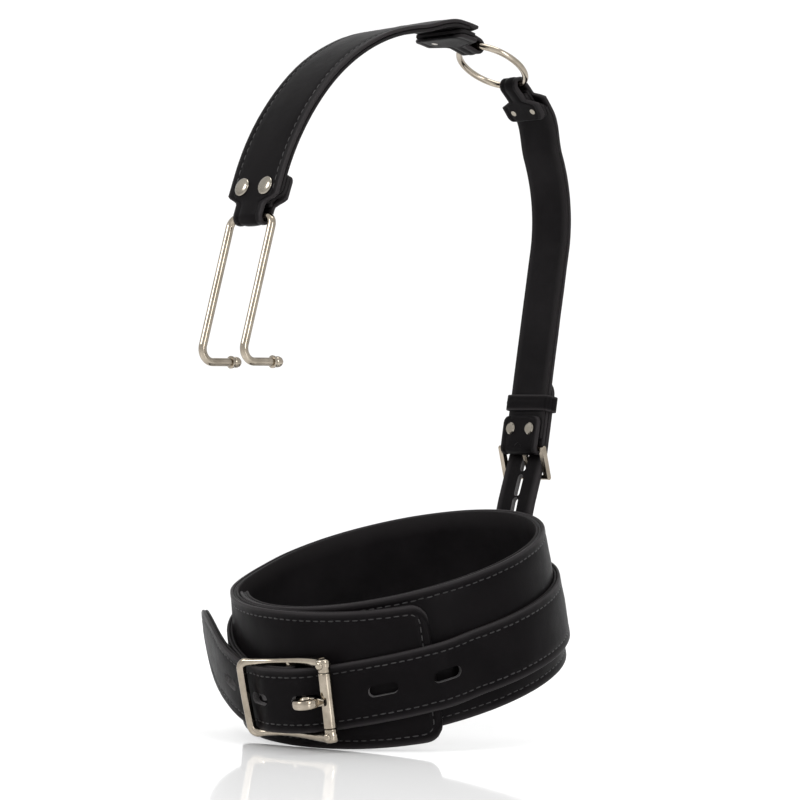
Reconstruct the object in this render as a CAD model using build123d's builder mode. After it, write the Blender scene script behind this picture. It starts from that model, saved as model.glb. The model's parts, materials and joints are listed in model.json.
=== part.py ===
from build123d import *
from math import atan2, cos, degrees, hypot, radians, sin, sqrt, tan
import os

# Leather neck collar with a locking belt buckle, a head strap and a wire nose hook.
#
# Millimetres, +Z up.  The wearer faces -Y and the wearer's left is +X.  The origin is the centre
# of the collar's opening.  The collar leans forward, so its own axis is tilted about X.

os.makedirs("parts", exist_ok=True)

# ---------------------------------------------------------------- collar
COLLAR_TILT = 10.5          # forward lean of the collar's axis, degrees
COLLAR_CONE = 2.4           # half angle of the cone, narrower at the top
COLLAR_HEIGHT = 63.5
COLLAR_RADIUS = 75.7        # outside of the wall at mid height
OUTER_LEATHER = 1.6
PADDING = 1.1
LINING = 1.4
LAYER_GAP = 0.1
WALL = OUTER_LEATHER + PADDING + LINING + 2 * LAYER_GAP
RIM_RISE = 7.3              # the back of the wall stands this much higher than the sides
FLAP_START = -38            # angle of the inner end, hidden under the flap
FLAP_END = 57               # angle of the outer end
FLAP_LAP = WALL + 0.3       # how far the flap lies outside the band under it
FLAP_DROP = 5.6             # how far the flap's free end sits below the band under it
CORNER = 8                  # radius of the flap's corners
STATION_STEP = 6            # angle between the sections of a strip

# ---------------------------------------------------------------- belt
BELT_WIDTH = 30
BELT_LEATHER = 1.6
BELT_BACKING = 1.4
BELT_TIP = -64              # angle of the free end
TIP_LENGTH = 26             # degrees over which the tip narrows
TIP_CURL = 0.00013          # how sharply the free end curls away, per cubed degree
TIP_CURL_FROM = -14         # angle where the curl begins
BELT_BACK = 0.2             # mid height of the belt at the back
BELT_FRONT = -15.2          # and at the buckle
BELT_GAP = 0.3              # between the belt and what it lies on
BAR_RAISE = 8.2             # free end carried up over the centre bar
HEEL_DROP = 2.9             # and down again under the heel bar
TAIL_RAISE = 1.85           # belt carried up over its own folded end
FOLD_RAISE = 1.1            # and on up to the fold round the centre bar
SLOT_LENGTH = 14
SLOT_WIDTH = 5.2
BELT_RIVET_ACROSS = (-9, 9)
BELT_RIVET_SEAT = 6.4       # underside of the rivet caps beside the buckle, above the flap
BELT_RIVET_CAP = 2.2
BACK_RIVETS_ACROSS = (-7.5, 7.5)
BACK_RIVET_TURN = 4.5       # degrees each side of the middle of the back
BELT_RIVET_ANGLE = 360
SLOT_ANGLES = (60.4, 39.8, 16.4, -1.5, -20.5)

# ---------------------------------------------------------------- belt buckle
BUCKLE_ANGLE = 9            # angle of the centre bar on the collar
BAR_LIFT = 4.1              # centre bar above the flap
BAR_RADIUS = 2.0
FOLD_INNER = 2.15           # belt leather round the centre bar
HEEL_X = -25.0              # bar that the free end passes under
HEEL_LIFT = 4.2             # above the centre bar
ROLLER_X = 22.5
ROLLER_LIFT = 2.9
ROLLER_RADIUS = 3.1
ROLLER_LENGTH = 29.6
PIN_RADIUS = 1.35
RUNNING = 0.05
ARM_INSIDE = 15.3           # from the belt's centre line to the inside of an arm
ARM_WIDTH = 2.6
ARM_DEPTH = 4.0
LUG_RADIUS = 3.9
TONGUE_WIDTH = 4.4
TONGUE_THICKNESS = 2.0
TONGUE_NOTCH = 6.4          # gap for the tongue in the leather round the centre bar
EYE_RADIUS = 3.6            # hole for a padlock's shackle
EYE_WALL = 2.6
EYE_X = 15.6
EYE_LIFT = 10.2

# ---------------------------------------------------------------- head strap
CROWN_CENTRE = (11.4, 184.1)
CROWN_RADIUS = 98
FOREHEAD_RADIUS = 125.3
BACK_RADIUS = 84
FOREHEAD_FROM = 135.4       # polar angle where the crown arc meets the forehead arc
FOREHEAD_TO = 160
BACK_FROM = 62              # polar angle where the crown arc meets the back arc
BACK_TO = -10.4
HOOK_DROP = 18.9            # straight end of the strap, down to the hook's crossbar
STRAP_WIDTH = 35
STRAP_LAYER = 1.8           # outer leather
STRAP_LINING = 1.6
FOLD_RADIUS = 3.0           # middle of the leather round the crossbar
NECK_WIDTH = 20
NECK_LENGTH = 8
TAIL_LENGTH = 21
HOOK_LINING = 1.9           # lining on the folded tail above the hook
LINING_SHORT = 6            # linings stop this far before a strap's straight end
RIVET_RISE = 13.7           # rivets above the crossbar
RIVET_SPACING = 16.4
RIVET_CAP = 4.5
RIVET_RIM = 0.7             # straight edge of a cap
RIVET_DOME = 1.1            # dome above it
POST_RADIUS = 1.5
HOLE_RADIUS = POST_RADIUS + RUNNING

# ---------------------------------------------------------------- crown ring
RING_RADIUS = 17.5
RING_WIRE = 1.6
RING_ANGLE = 60             # polar angle of its centre on the crown
RING_LIFT = 4.2             # its wire above the head, where the straps hold it
RING_FOLD = 3.2             # middle of the leather round the ring's wire
RING_NECK = 12
STACK_LINING = 5.4          # middle of the lining above the head, beside the ring
STACK_TAIL_LINING = 3.2
TAIL_LINING = 2.0
RING_RIVET_TURN = 9.5       # degrees of crown from the wire to the rivets
RING_RIVET_CAP = 3.6
RING_RIVET_RISE = 1.1
FRONT_RIVET_ACROSS = 8      # rivets each side of the front strap's centre line
REAR_RIVET_ACROSS = 6.5     # and of the rear strap's
RING_TAIL = 13              # degrees of crown under which a folded end lies
RING_EASE = 14              # degrees over which the strap comes down to the head again

# ---------------------------------------------------------------- nose hook
HOOK_WIRE = 1.95
HOOK_HALF_WIDTH = 14.8
HOOK_CORNER = (-112.6, 123.6)
HOOK_END = -91.0
BEAD_RADIUS = 3.0
HOOK_BENDS = (6, 4.5)       # radii of the wire's bends, at the nose and at the crossbar
BEAD_GRIP = 3.4             # wire inside the tip

# ---------------------------------------------------------------- rear strap and its buckle
REAR_WIDTH = 25
TETHER_THICKNESS = 2.4
TETHER_SPREAD = 1.3         # the flat tether stands off the curved wall at its edges
REAR_STRAIGHT = 101         # straight run from the back of the head to the nape buckle
NAPE_BAR = 1.3
NAPE_END_BAR = 13.5         # end bar below the heel bar
NAPE_END_LIFT = 6.1         # end bar outside the heel bar

# directions of the collar's own frame
LEFT = Vector(1, 0, 0)
FRONT = Vector(0, -cos(radians(COLLAR_TILT)), -sin(radians(COLLAR_TILT)))
UP = Vector(0, -sin(radians(COLLAR_TILT)), cos(radians(COLLAR_TILT)))


def smooth(value, low, high):
    """Zero below low, one above high, an S-shaped step between."""
    t = min(1, max(0, (value - low) / (high - low)))
    return t * t * (3 - 2 * t)


def wall_height(angle):
    """Mid height of the collar strip, which runs from FLAP_START round to 360 + FLAP_END."""
    lift = -RIM_RISE * cos(radians(angle))
    return lift - FLAP_DROP * smooth(angle, 350, 360 + FLAP_END + 12)


def wall_radius(angle):
    """Outside radius of the collar strip at mid height: the flap lies over the first end."""
    return COLLAR_RADIUS + FLAP_LAP * smooth(angle, 284, 318)


def belt_height(angle):
    """Mid height of the belt, from its tip round the back to the buckle."""
    if angle < 180:
        rise = 0.125 * max(0, angle - 26) + 0.36 * max(0, -9 - angle)
        return BELT_FRONT + rise if angle < 0 else min(BELT_BACK, BELT_FRONT + rise)
    return BELT_BACK + (BELT_FRONT - BELT_BACK) * smooth(angle, 290, 351)


def belt_lift(angle):
    """Gap between the collar's outer surface and the belt's backing."""
    over_tether = (TETHER_THICKNESS + TETHER_SPREAD) * (1 - smooth(abs(angle - 180), 12, 24))
    if angle < 180:
        over_flap = FLAP_LAP * (1 - smooth(angle, 58, 74))
        over_bar = BAR_RAISE * (1 - smooth(angle, 11, 30)) - HEEL_DROP * (1 - smooth(angle, -7, 3))
        free_end = TIP_CURL * max(0, TIP_CURL_FROM - angle) ** 3
        return BELT_GAP + over_tether + over_flap + over_bar + free_end
    over_tail = TAIL_RAISE * smooth(angle, 338, 350) + FOLD_RAISE * smooth(angle, 354, 368)
    return BELT_GAP + over_tether + over_tail


def collar_surface(angle):
    """Outside radius of whatever collar layer the belt lies on, before belt_lift is added."""
    return COLLAR_RADIUS if angle < 180 else wall_radius(angle)


def collar_plane(angle, radius, height):
    """Section plane across a strip: x up the wall, y outwards, z along the strip."""
    turn = radians(angle)
    outward = LEFT * sin(turn) + FRONT * cos(turn)
    along = LEFT * cos(turn) - FRONT * sin(turn)
    cone = radians(COLLAR_CONE)
    rise = UP * cos(cone) - outward * sin(cone)
    centre = outward * (radius - height * tan(cone)) + UP * height
    return Plane(origin=centre, x_dir=rise, z_dir=along)


def stations(start, end, extra=()):
    """Angles of a strip's sections: a common grid, both ends and any extra ones."""
    first = int(start // STATION_STEP) + 1
    grid = [k * STATION_STEP for k in range(first, int(end // STATION_STEP) + 2)]
    inside = [a for a in grid if start + 1 < a < end - 1]
    return sorted({start, end, *inside, *(a for a in extra if start < a < end)})


def strip(angles, radius, height, width, thickness):
    """Loft a strip whose inner face has the given radius at each angle."""
    sections = []
    for angle in angles:
        plane = collar_plane(angle, radius(angle) + thickness / 2, height(angle))
        with BuildSketch(plane) as section:
            Rectangle(width(angle), thickness)
        sections.append(section.sketch.face())
    loft(sections, ruled=True)


def rounded_end(width, corner, end):
    """Width of a strip near an end that has rounded corners."""
    def at(angle):
        run = radians(abs(end - angle)) * COLLAR_RADIUS
        if run >= corner:
            return width
        return width - 2 * (corner - sqrt(corner ** 2 - (corner - run) ** 2))
    return at


def belt_point(angle, lift, across):
    """Plane on the belt: z outwards, lift above the collar, across up the wall."""
    plane = collar_plane(angle, collar_surface(angle), belt_height(angle))
    origin = plane.origin + plane.x_dir * across + plane.y_dir * lift
    return Plane(origin=origin, x_dir=plane.z_dir, z_dir=plane.y_dir)


def disc(plane, radius, amount, taper=0):
    """Round solid standing on a plane."""
    with BuildSketch(plane) as face:
        Circle(radius)
    extrude(face.sketch, amount=amount, taper=taper)


def rivet(plane, depth, cap_radius, cap_height):
    """Low domed cap on a plane, and a post going down into the leather."""
    rim = 0.4 * cap_height
    disc(plane, cap_radius, rim)
    disc(plane.offset(rim), cap_radius, cap_height - rim, taper=50)
    disc(plane, POST_RADIUS, -depth)


def back_holes():
    """Holes for the rivets that hold belt, tether and collar together at the back."""
    for across in BACK_RIVETS_ACROSS:
        for side in (-1, 1):
            hole = belt_point(180 + side * BACK_RIVET_TURN, 0, across)
            with BuildSketch(hole) as outline:
                Circle(HOLE_RADIUS)
            extrude(outline.sketch, amount=14, both=True, mode=Mode.SUBTRACT)


def export(builder, name):
    builder.part.label = name
    export_step(builder.part, f"parts/{name}.step")


# ---------------------------------------------------------------- collar layers
FLAP_TIP = 360 + FLAP_END
END_STATIONS = (FLAP_TIP - 1.2, FLAP_TIP - 2.8, FLAP_TIP - 4.4, FLAP_TIP - 6.2)
BACK_STATIONS = stations(FLAP_START, FLAP_TIP, END_STATIONS)


def collar_layer(depth, thickness, inset):
    """A layer of the wall whose outer face is depth below the outside."""
    strip(
        [a for a in BACK_STATIONS if FLAP_START + inset / 3 <= a <= FLAP_TIP - inset / 3],
        lambda a: wall_radius(a) - depth - thickness,
        wall_height,
        lambda a: rounded_end(COLLAR_HEIGHT, CORNER, FLAP_TIP)(a) - 2 * inset,
        thickness,
    )


with BuildPart() as collar_outer:
    collar_layer(0, OUTER_LEATHER, 0)
    back_holes()

with BuildPart() as collar_padding:
    collar_layer(OUTER_LEATHER + LAYER_GAP, PADDING, 7)
    back_holes()

with BuildPart() as collar_lining:
    collar_layer(WALL - LINING, LINING, 0)
    back_holes()

# ---------------------------------------------------------------- belt
BUCKLE_TURN = 360 + BUCKLE_ANGLE


def belt_width(angle):
    """Full width, but for the tip, which narrows in a rounded point."""
    t = min(1, (angle - BELT_TIP) / TIP_LENGTH)
    return BELT_WIDTH * (0.2 + 0.8 * sqrt(1 - (1 - t) ** 2))


def belt_radius(angle):
    return collar_surface(angle) + belt_lift(angle)


TIP_STATIONS = tuple(BELT_TIP + k for k in (0.6, 1.6, 3, 5, 8))
BELT_STATIONS = stations(BELT_TIP, BUCKLE_TURN, TIP_STATIONS + (12, 15, 345, 351, 357))
BAR_PLANE = collar_plane(
    BUCKLE_TURN, wall_radius(BUCKLE_TURN) + BAR_LIFT, belt_height(BUCKLE_TURN)
)
# buckle frame: x along the belt towards the roller, y out of the collar, z down the wall
BUCKLE = Plane(origin=BAR_PLANE.origin, x_dir=BAR_PLANE.z_dir, z_dir=-BAR_PLANE.x_dir)


def buckle_side(half_length):
    """The buckle's working plane, moved to one side of the belt."""
    return BUCKLE.offset(half_length)


def cut_slots(angles):
    """Oblong holes through the belt."""
    for angle in angles:
        plane = collar_plane(angle, belt_radius(angle) + 1.5, belt_height(angle))
        cutter = Plane(origin=plane.origin, x_dir=plane.z_dir, z_dir=plane.y_dir)
        with BuildSketch(cutter) as slot:
            SlotOverall(SLOT_LENGTH, SLOT_WIDTH)
        extrude(slot.sketch, amount=5, both=True, mode=Mode.SUBTRACT)


def main_belt_radius(angle):
    """Inner face of the outer leather; at the buckle it meets the fold round the bar."""
    normal = belt_radius(angle) + BELT_BACKING + LAYER_GAP
    at_bar = wall_radius(angle) + BAR_LIFT + FOLD_INNER
    blend = smooth(angle, 352, BUCKLE_TURN - 3)
    return normal * (1 - blend) + at_bar * blend


with BuildPart() as belt_strap:
    strip(BELT_STATIONS, main_belt_radius, belt_height, belt_width, BELT_LEATHER)
    with BuildSketch(buckle_side(-BELT_WIDTH / 2)):
        Circle(FOLD_INNER + BELT_LEATHER)
        Circle(FOLD_INNER, mode=Mode.SUBTRACT)
        with Locations((-10, 0)):
            Rectangle(20, 20, mode=Mode.SUBTRACT)
    extrude(amount=BELT_WIDTH)
    strip(
        [350, 354, 360, 366, BUCKLE_TURN],
        lambda a: wall_radius(a) + BAR_LIFT - FOLD_INNER - BELT_LEATHER,
        belt_height,
        lambda a: BELT_WIDTH,
        BELT_LEATHER,
    )
    cut_slots(SLOT_ANGLES)
    back_holes()
    for across in BELT_RIVET_ACROSS:
        for depth, radius in ((0, HOLE_RADIUS), (BELT_RIVET_SEAT, BELT_RIVET_CAP + RUNNING)):
            with BuildSketch(belt_point(BELT_RIVET_ANGLE, depth, across)) as hole:
                Circle(radius)
            extrude(hole.sketch, amount=7.6 - depth, mode=Mode.SUBTRACT)
    with BuildSketch(buckle_side(-TONGUE_NOTCH / 2)):
        with Locations((0.7, -0.4)):
            Rectangle(10.6, 9.2)
    extrude(amount=TONGUE_NOTCH, mode=Mode.SUBTRACT)

with BuildPart() as belt_backing:
    strip(
        [a for a in BELT_STATIONS if BELT_TIP < a <= 357],
        belt_radius, belt_height, belt_width, BELT_BACKING,
    )
    cut_slots(SLOT_ANGLES)
    back_holes()

# ---------------------------------------------------------------- belt buckle
with BuildPart() as buckle_frame:
    for side in (-1, 1):
        inner = BUCKLE.offset(side * ARM_INSIDE)
        with BuildSketch(inner):
            with BuildLine():
                ThreePointArc((HEEL_X, HEEL_LIFT), (0, -0.4), (ROLLER_X, ROLLER_LIFT))
            trace(line_width=ARM_DEPTH)
            with Locations((ROLLER_X, ROLLER_LIFT)):
                Circle(LUG_RADIUS)
            with Locations((HEEL_X, HEEL_LIFT)):
                Circle(BAR_RADIUS)
        extrude(amount=side * ARM_WIDTH)
    with BuildSketch(buckle_side(-ARM_INSIDE)):
        Circle(BAR_RADIUS)
        with Locations((HEEL_X, HEEL_LIFT)):
            Circle(BAR_RADIUS)
    extrude(amount=2 * ARM_INSIDE)
    with BuildSketch(buckle_side(-ARM_INSIDE - ARM_WIDTH)):
        with Locations((ROLLER_X, ROLLER_LIFT)):
            Circle(PIN_RADIUS)
    extrude(amount=2 * (ARM_INSIDE + ARM_WIDTH), mode=Mode.SUBTRACT)

with BuildPart() as buckle_pin:
    with BuildSketch(buckle_side(-ARM_INSIDE - ARM_WIDTH)):
        with Locations((ROLLER_X, ROLLER_LIFT)):
            Circle(PIN_RADIUS)
    extrude(amount=2 * (ARM_INSIDE + ARM_WIDTH))
    for side in (-1, 1):
        with BuildSketch(BUCKLE.offset(side * (ARM_INSIDE + ARM_WIDTH))):
            with Locations((ROLLER_X, ROLLER_LIFT)):
                Circle(LUG_RADIUS - 0.5)
        extrude(amount=side * 1.2)

with BuildPart() as buckle_roller:
    with BuildSketch(buckle_side(-ROLLER_LENGTH / 2)):
        with Locations((ROLLER_X, ROLLER_LIFT)):
            Circle(ROLLER_RADIUS)
            Circle(PIN_RADIUS + RUNNING, mode=Mode.SUBTRACT)
    extrude(amount=ROLLER_LENGTH)

TONGUE_REST = ROLLER_LIFT + ROLLER_RADIUS + 0.1
with BuildPart() as locking_tongue:
    with BuildSketch(buckle_side(-TONGUE_WIDTH / 2)):
        with BuildLine():
            Polyline(
                (1.0, 0.2), (6.0, 0.6), (ROLLER_X - 2.0, TONGUE_REST),
                (ROLLER_X + 2.4, TONGUE_REST), (ROLLER_X + 2.4, TONGUE_REST + 1.2),
                (ROLLER_X + 1.6, TONGUE_REST + TONGUE_THICKNESS),
                (ROLLER_X - 2.6, TONGUE_REST + TONGUE_THICKNESS),
                (5.4, TONGUE_THICKNESS + 0.7), (1.0, 3.4), close=True,
            )
        make_face()
        Circle(BAR_RADIUS + RUNNING + 1.8)
        with Locations((EYE_X, EYE_LIFT)):
            Circle(EYE_RADIUS + EYE_WALL)
            Circle(EYE_RADIUS, mode=Mode.SUBTRACT)
        Circle(BAR_RADIUS + RUNNING, mode=Mode.SUBTRACT)
    extrude(amount=TONGUE_WIDTH)

with BuildPart() as belt_rivets:
    for across in BELT_RIVET_ACROSS:
        seat = belt_point(BELT_RIVET_ANGLE, BELT_RIVET_SEAT, across)
        rivet(seat, BELT_RIVET_SEAT - 0.25, BELT_RIVET_CAP, 0.6)

# ---------------------------------------------------------------- head strap path
def polar(centre, radius, angle):
    """Point in the YZ plane at an angle from +Y."""
    return (
        centre[0] + radius * cos(radians(angle)),
        centre[1] + radius * sin(radians(angle)),
    )


def step(point, angle, distance):
    """Point a distance along the direction at an angle from +Y."""
    return polar(point, distance, angle)


FOREHEAD_CENTRE = step(CROWN_CENTRE, FOREHEAD_FROM + 180, FOREHEAD_RADIUS - CROWN_RADIUS)
BACK_CENTRE = step(CROWN_CENTRE, BACK_FROM, CROWN_RADIUS - BACK_RADIUS)
FRONT_DOWN = FOREHEAD_TO + 90        # direction of the strap's straight front end
REAR_DOWN = BACK_TO - 90             # direction of the straight run down the nape
OUTER_LIFT = 2.8              # middle of the outer leather above the head
LINING_LIFT = 0.5 * STRAP_LINING
FRONT_END = polar(FOREHEAD_CENTRE, FOREHEAD_RADIUS, FOREHEAD_TO)
REAR_END = polar(BACK_CENTRE, BACK_RADIUS, BACK_TO)
CROSSBAR = step(step(FRONT_END, FRONT_DOWN, HOOK_DROP), FOREHEAD_TO, OUTER_LIFT - FOLD_RADIUS)

# the ring lies on a chord of the crown
RING_DISTANCE = sqrt((CROWN_RADIUS + RING_LIFT) ** 2 - RING_RADIUS ** 2)
RING_CENTRE = polar(CROWN_CENTRE, RING_DISTANCE, RING_ANGLE)
FOLD_SHIFT = (RING_RADIUS - sqrt(RING_RADIUS ** 2 - (RING_NECK / 2) ** 2)) / 2
FRONT_WIRE = step(RING_CENTRE, RING_ANGLE + 90, RING_RADIUS - FOLD_SHIFT)
REAR_WIRE = step(RING_CENTRE, RING_ANGLE - 90, RING_RADIUS - FOLD_SHIFT)


def centre_angle(centre, point):
    return degrees(atan2(point[1] - centre[1], point[0] - centre[0]))


def centre_distance(centre, point):
    return hypot(point[0] - centre[0], point[1] - centre[1])


class RingEnd:
    """Where a strap folds round the ring: turn is +1 for the front strap, -1 for the rear."""

    def __init__(self, centre, radius, wire, turn):
        self.centre = centre
        self.radius = radius
        self.wire = wire
        self.turn = turn
        self.angle = centre_angle(centre, wire)
        self.lift = centre_distance(centre, wire) - radius
        self.tail = self.angle + turn * RING_TAIL
        self.eased = self.tail + turn * RING_EASE

    def point(self, angle, lift):
        return polar(self.centre, self.radius + lift, angle)

    def ease(self, high, low):
        """S-shaped run from the stack at the ring down to the head."""
        away = [(-self.turn * sin(radians(a)), self.turn * cos(radians(a)))
                for a in (self.tail, self.eased)]
        Spline(self.point(self.tail, high), self.point(self.eased, low), tangents=away)

    def arc(self, lift, start, end):
        CenterArc(self.centre, self.radius + lift, start, end - start)

    def fold(self):
        """Tail, half turn round the wire and the run above it."""
        self.arc(self.lift - RING_FOLD, self.tail, self.angle)
        CenterArc(self.wire, RING_FOLD, self.angle + 180, 180 * self.turn)
        self.arc(self.lift + RING_FOLD, self.angle, self.tail)
        self.ease(self.lift + RING_FOLD, OUTER_LIFT)

    def lining_start(self):
        """Lining under the run above the wire, then down to the head."""
        self.arc(STACK_LINING, self.angle + self.turn * 3, self.tail)
        self.ease(STACK_LINING, LINING_LIFT)

    def tail_lining(self):
        self.arc(STACK_TAIL_LINING, self.angle + self.turn * 3.2, self.tail)

    def neck_region(self):
        """Outline round the narrow part at the ring."""
        near = self.angle - self.turn * 4
        far = self.angle + self.turn * 6.5
        Polyline(
            self.point(near, -3), self.point(far, -3),
            self.point(far, 12), self.point(near, 12), close=True,
        )


FRONT_RING_END = RingEnd(CROWN_CENTRE, CROWN_RADIUS, FRONT_WIRE, 1)
REAR_RING_END = RingEnd(BACK_CENTRE, BACK_RADIUS, REAR_WIRE, -1)


def front_run(lift, straight):
    """Strap from the eased point over the crown and forehead, then straight down."""
    CenterArc(CROWN_CENTRE, CROWN_RADIUS + lift, FRONT_RING_END.eased,
              FOREHEAD_FROM - FRONT_RING_END.eased)
    CenterArc(FOREHEAD_CENTRE, FOREHEAD_RADIUS + lift, FOREHEAD_FROM,
              FOREHEAD_TO - FOREHEAD_FROM)
    start = step(FRONT_END, FOREHEAD_TO, lift)
    Line(start, step(start, FRONT_DOWN, straight))


def rear_run(lift, straight):
    """Strap from the eased point down the back of the head, then straight to the nape."""
    CenterArc(BACK_CENTRE, BACK_RADIUS + lift, REAR_RING_END.eased,
              BACK_TO - REAR_RING_END.eased)
    start = step(REAR_END, BACK_TO, lift)
    Line(start, step(start, REAR_DOWN, straight))


def folded_end(bar, radius, outward, down, tail):
    """Half turn round a bar at the end of a straight run, then the tail going back."""
    CenterArc(bar, radius, outward, 180 if down > outward else -180)
    start = step(bar, outward + 180, radius)
    Line(start, step(start, down + 180, tail))


# ---------------------------------------------------------------- front strap
FRONT_NORMAL = (0, cos(radians(FOREHEAD_TO)), sin(radians(FOREHEAD_TO)))


def front_face(rise, lift, across):
    """Plane on the strap's straight front end, rise above the crossbar, z outwards."""
    foot = step(step(CROSSBAR, FRONT_DOWN + 180, rise), FOREHEAD_TO, lift)
    return Plane(origin=(across, *foot), x_dir=(1, 0, 0), z_dir=FRONT_NORMAL)


def ring_face(end, run, lift, across):
    """Plane on the stack beside the ring, run degrees from the wire, z outwards."""
    angle = end.angle + end.turn * run
    foot = end.point(angle, lift)
    normal = (0, cos(radians(angle)), sin(radians(angle)))
    return Plane(origin=(across, *foot), x_dir=(1, 0, 0), z_dir=normal)


def ring_rivet(end, across):
    """Rivet through the whole stack beside the ring."""
    top = end.lift + RING_FOLD + STRAP_LAYER / 2
    bottom = end.lift - RING_FOLD - STRAP_LAYER / 2
    plane = ring_face(end, RING_RIVET_TURN, top, across)
    rivet(plane, top - bottom, RING_RIVET_CAP, RING_RIVET_RISE)


def holes(planes, depth, radius):
    for plane in planes:
        with BuildSketch(plane) as hole:
            Circle(radius)
        extrude(hole.sketch, amount=depth, both=True, mode=Mode.SUBTRACT)


HOOK_RIVETS = [front_face(RIVET_RISE, 0, side * RIVET_SPACING / 2) for side in (-1, 1)]
FRONT_RING_RIVETS = [
    ring_face(FRONT_RING_END, RING_RIVET_TURN, RING_LIFT, side * FRONT_RIVET_ACROSS)
    for side in (-1, 1)
]
REAR_RING_RIVETS = [
    ring_face(REAR_RING_END, RING_RIVET_TURN, RING_LIFT, side * REAR_RIVET_ACROSS)
    for side in (-1, 1)
]


def trim_sides(outline, half_width, reach):
    """Cut both sides away, within an outline in the YZ plane, down to a narrow neck."""
    for side in (-1, 1):
        face = Plane.YZ.offset(side * half_width)
        with BuildSketch(face) as region:
            with BuildLine():
                outline()
            make_face()
        extrude(region.sketch, amount=side * reach, mode=Mode.SUBTRACT)


def crossbar_region():
    """Outline round the narrow part at the crossbar."""
    corners = []
    for rise, lift in ((-8, -9), (NECK_LENGTH, -9), (NECK_LENGTH, 9), (-8, 9)):
        corners.append(step(step(CROSSBAR, FRONT_DOWN + 180, rise), FOREHEAD_TO, lift))
    Polyline(*corners, close=True)


with BuildPart() as front_strap_outer:
    with BuildSketch(Plane.YZ):
        with BuildLine():
            FRONT_RING_END.fold()
            front_run(OUTER_LIFT, HOOK_DROP)
            folded_end(CROSSBAR, FOLD_RADIUS, FOREHEAD_TO, FRONT_DOWN, TAIL_LENGTH)
        trace(line_width=STRAP_LAYER)
    extrude(amount=STRAP_WIDTH / 2, both=True)
    trim_sides(FRONT_RING_END.neck_region, RING_NECK / 2, STRAP_WIDTH)
    trim_sides(crossbar_region, NECK_WIDTH / 2, STRAP_WIDTH)
    holes(HOOK_RIVETS + FRONT_RING_RIVETS, 8, HOLE_RADIUS)

with BuildPart() as front_strap_lining:
    with BuildSketch(Plane.YZ):
        with BuildLine():
            FRONT_RING_END.lining_start()
            front_run(LINING_LIFT, HOOK_DROP - LINING_SHORT)
        trace(line_width=STRAP_LINING)
    extrude(amount=STRAP_WIDTH / 2, both=True)
    trim_sides(FRONT_RING_END.neck_region, RING_NECK / 2, STRAP_WIDTH)
    trim_sides(crossbar_region, NECK_WIDTH / 2, STRAP_WIDTH)
    holes(HOOK_RIVETS + FRONT_RING_RIVETS, 8, HOLE_RADIUS)

with BuildPart() as hook_tail_lining:
    with BuildSketch(Plane.YZ):
        with BuildLine():
            foot = step(step(CROSSBAR, FRONT_DOWN + 180, 5), FOREHEAD_TO + 180, 1.0)
            Line(foot, step(foot, FRONT_DOWN + 180, TAIL_LENGTH - 5))
        trace(line_width=HOOK_LINING)
    extrude(amount=STRAP_WIDTH / 2, both=True)
    trim_sides(crossbar_region, NECK_WIDTH / 2, STRAP_WIDTH)
    holes(HOOK_RIVETS, 8, HOLE_RADIUS)

with BuildPart() as crown_tail_lining:
    with BuildSketch(Plane.YZ):
        with BuildLine():
            FRONT_RING_END.tail_lining()
        trace(line_width=TAIL_LINING)
    extrude(amount=STRAP_WIDTH / 2, both=True)
    trim_sides(FRONT_RING_END.neck_region, RING_NECK / 2, STRAP_WIDTH)
    holes(FRONT_RING_RIVETS, 8, HOLE_RADIUS)

HOOK_OUTSIDE = OUTER_LIFT + STRAP_LAYER / 2 - (OUTER_LIFT - FOLD_RADIUS)
HOOK_STACK = 2 * FOLD_RADIUS + STRAP_LAYER
with BuildPart() as hook_rivet_caps:
    for side in (-1, 1):
        seat = front_face(RIVET_RISE, HOOK_OUTSIDE, side * RIVET_SPACING / 2)
        disc(seat, RIVET_CAP, RIVET_RIM)
        disc(seat.offset(RIVET_RIM), RIVET_CAP, RIVET_DOME, taper=55)

with BuildPart() as hook_rivet_posts:
    for side in (-1, 1):
        top = front_face(RIVET_RISE, HOOK_OUTSIDE, side * RIVET_SPACING / 2)
        back = Plane(origin=top.origin - top.z_dir * HOOK_STACK, x_dir=(1, 0, 0), z_dir=-top.z_dir)
        rivet(back, HOOK_STACK, 3.2, 0.8)

with BuildPart() as crown_rivets:
    for side in (-1, 1):
        ring_rivet(FRONT_RING_END, side * FRONT_RIVET_ACROSS)

# ---------------------------------------------------------------- crown ring and nose hook
RING_NORMAL = (0, cos(radians(RING_ANGLE)), sin(radians(RING_ANGLE)))
with BuildPart(Plane((0, *RING_CENTRE), x_dir=(1, 0, 0), z_dir=RING_NORMAL)) as crown_ring:
    Torus(RING_RADIUS, RING_WIRE)

HOOK_POINTS = [(HOOK_END, HOOK_CORNER[1]), HOOK_CORNER, CROSSBAR]
with BuildPart() as nose_hook:
    left_side = [(-HOOK_HALF_WIDTH, *point) for point in HOOK_POINTS]
    right_side = [(HOOK_HALF_WIDTH, *point) for point in reversed(HOOK_POINTS)]
    with BuildLine() as route:
        FilletPolyline(*left_side, *right_side, radius=[*HOOK_BENDS, *reversed(HOOK_BENDS)])
    with BuildSketch(Plane(route.line @ 0, z_dir=route.line % 0)):
        Circle(HOOK_WIRE)
    sweep()


def bead(side):
    """Rounded tip pressed on the end of one leg of the hook."""
    front = Plane(
        (side * HOOK_HALF_WIDTH, HOOK_END - BEAD_GRIP, HOOK_CORNER[1]),
        x_dir=(1, 0, 0), z_dir=(0, 1, 0),
    )
    disc(front, BEAD_RADIUS, 1.8)
    disc(front.offset(1.8), BEAD_RADIUS - 0.4, 2.6)
    disc(front.offset(4.4), BEAD_RADIUS - 0.4, 1.8, taper=35)
    with BuildSketch(front) as socket:
        Circle(HOOK_WIRE)
    extrude(socket.sketch, amount=BEAD_GRIP, mode=Mode.SUBTRACT)


with BuildPart() as hook_tip_left:
    bead(1)

with BuildPart() as hook_tip_right:
    bead(-1)


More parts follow.
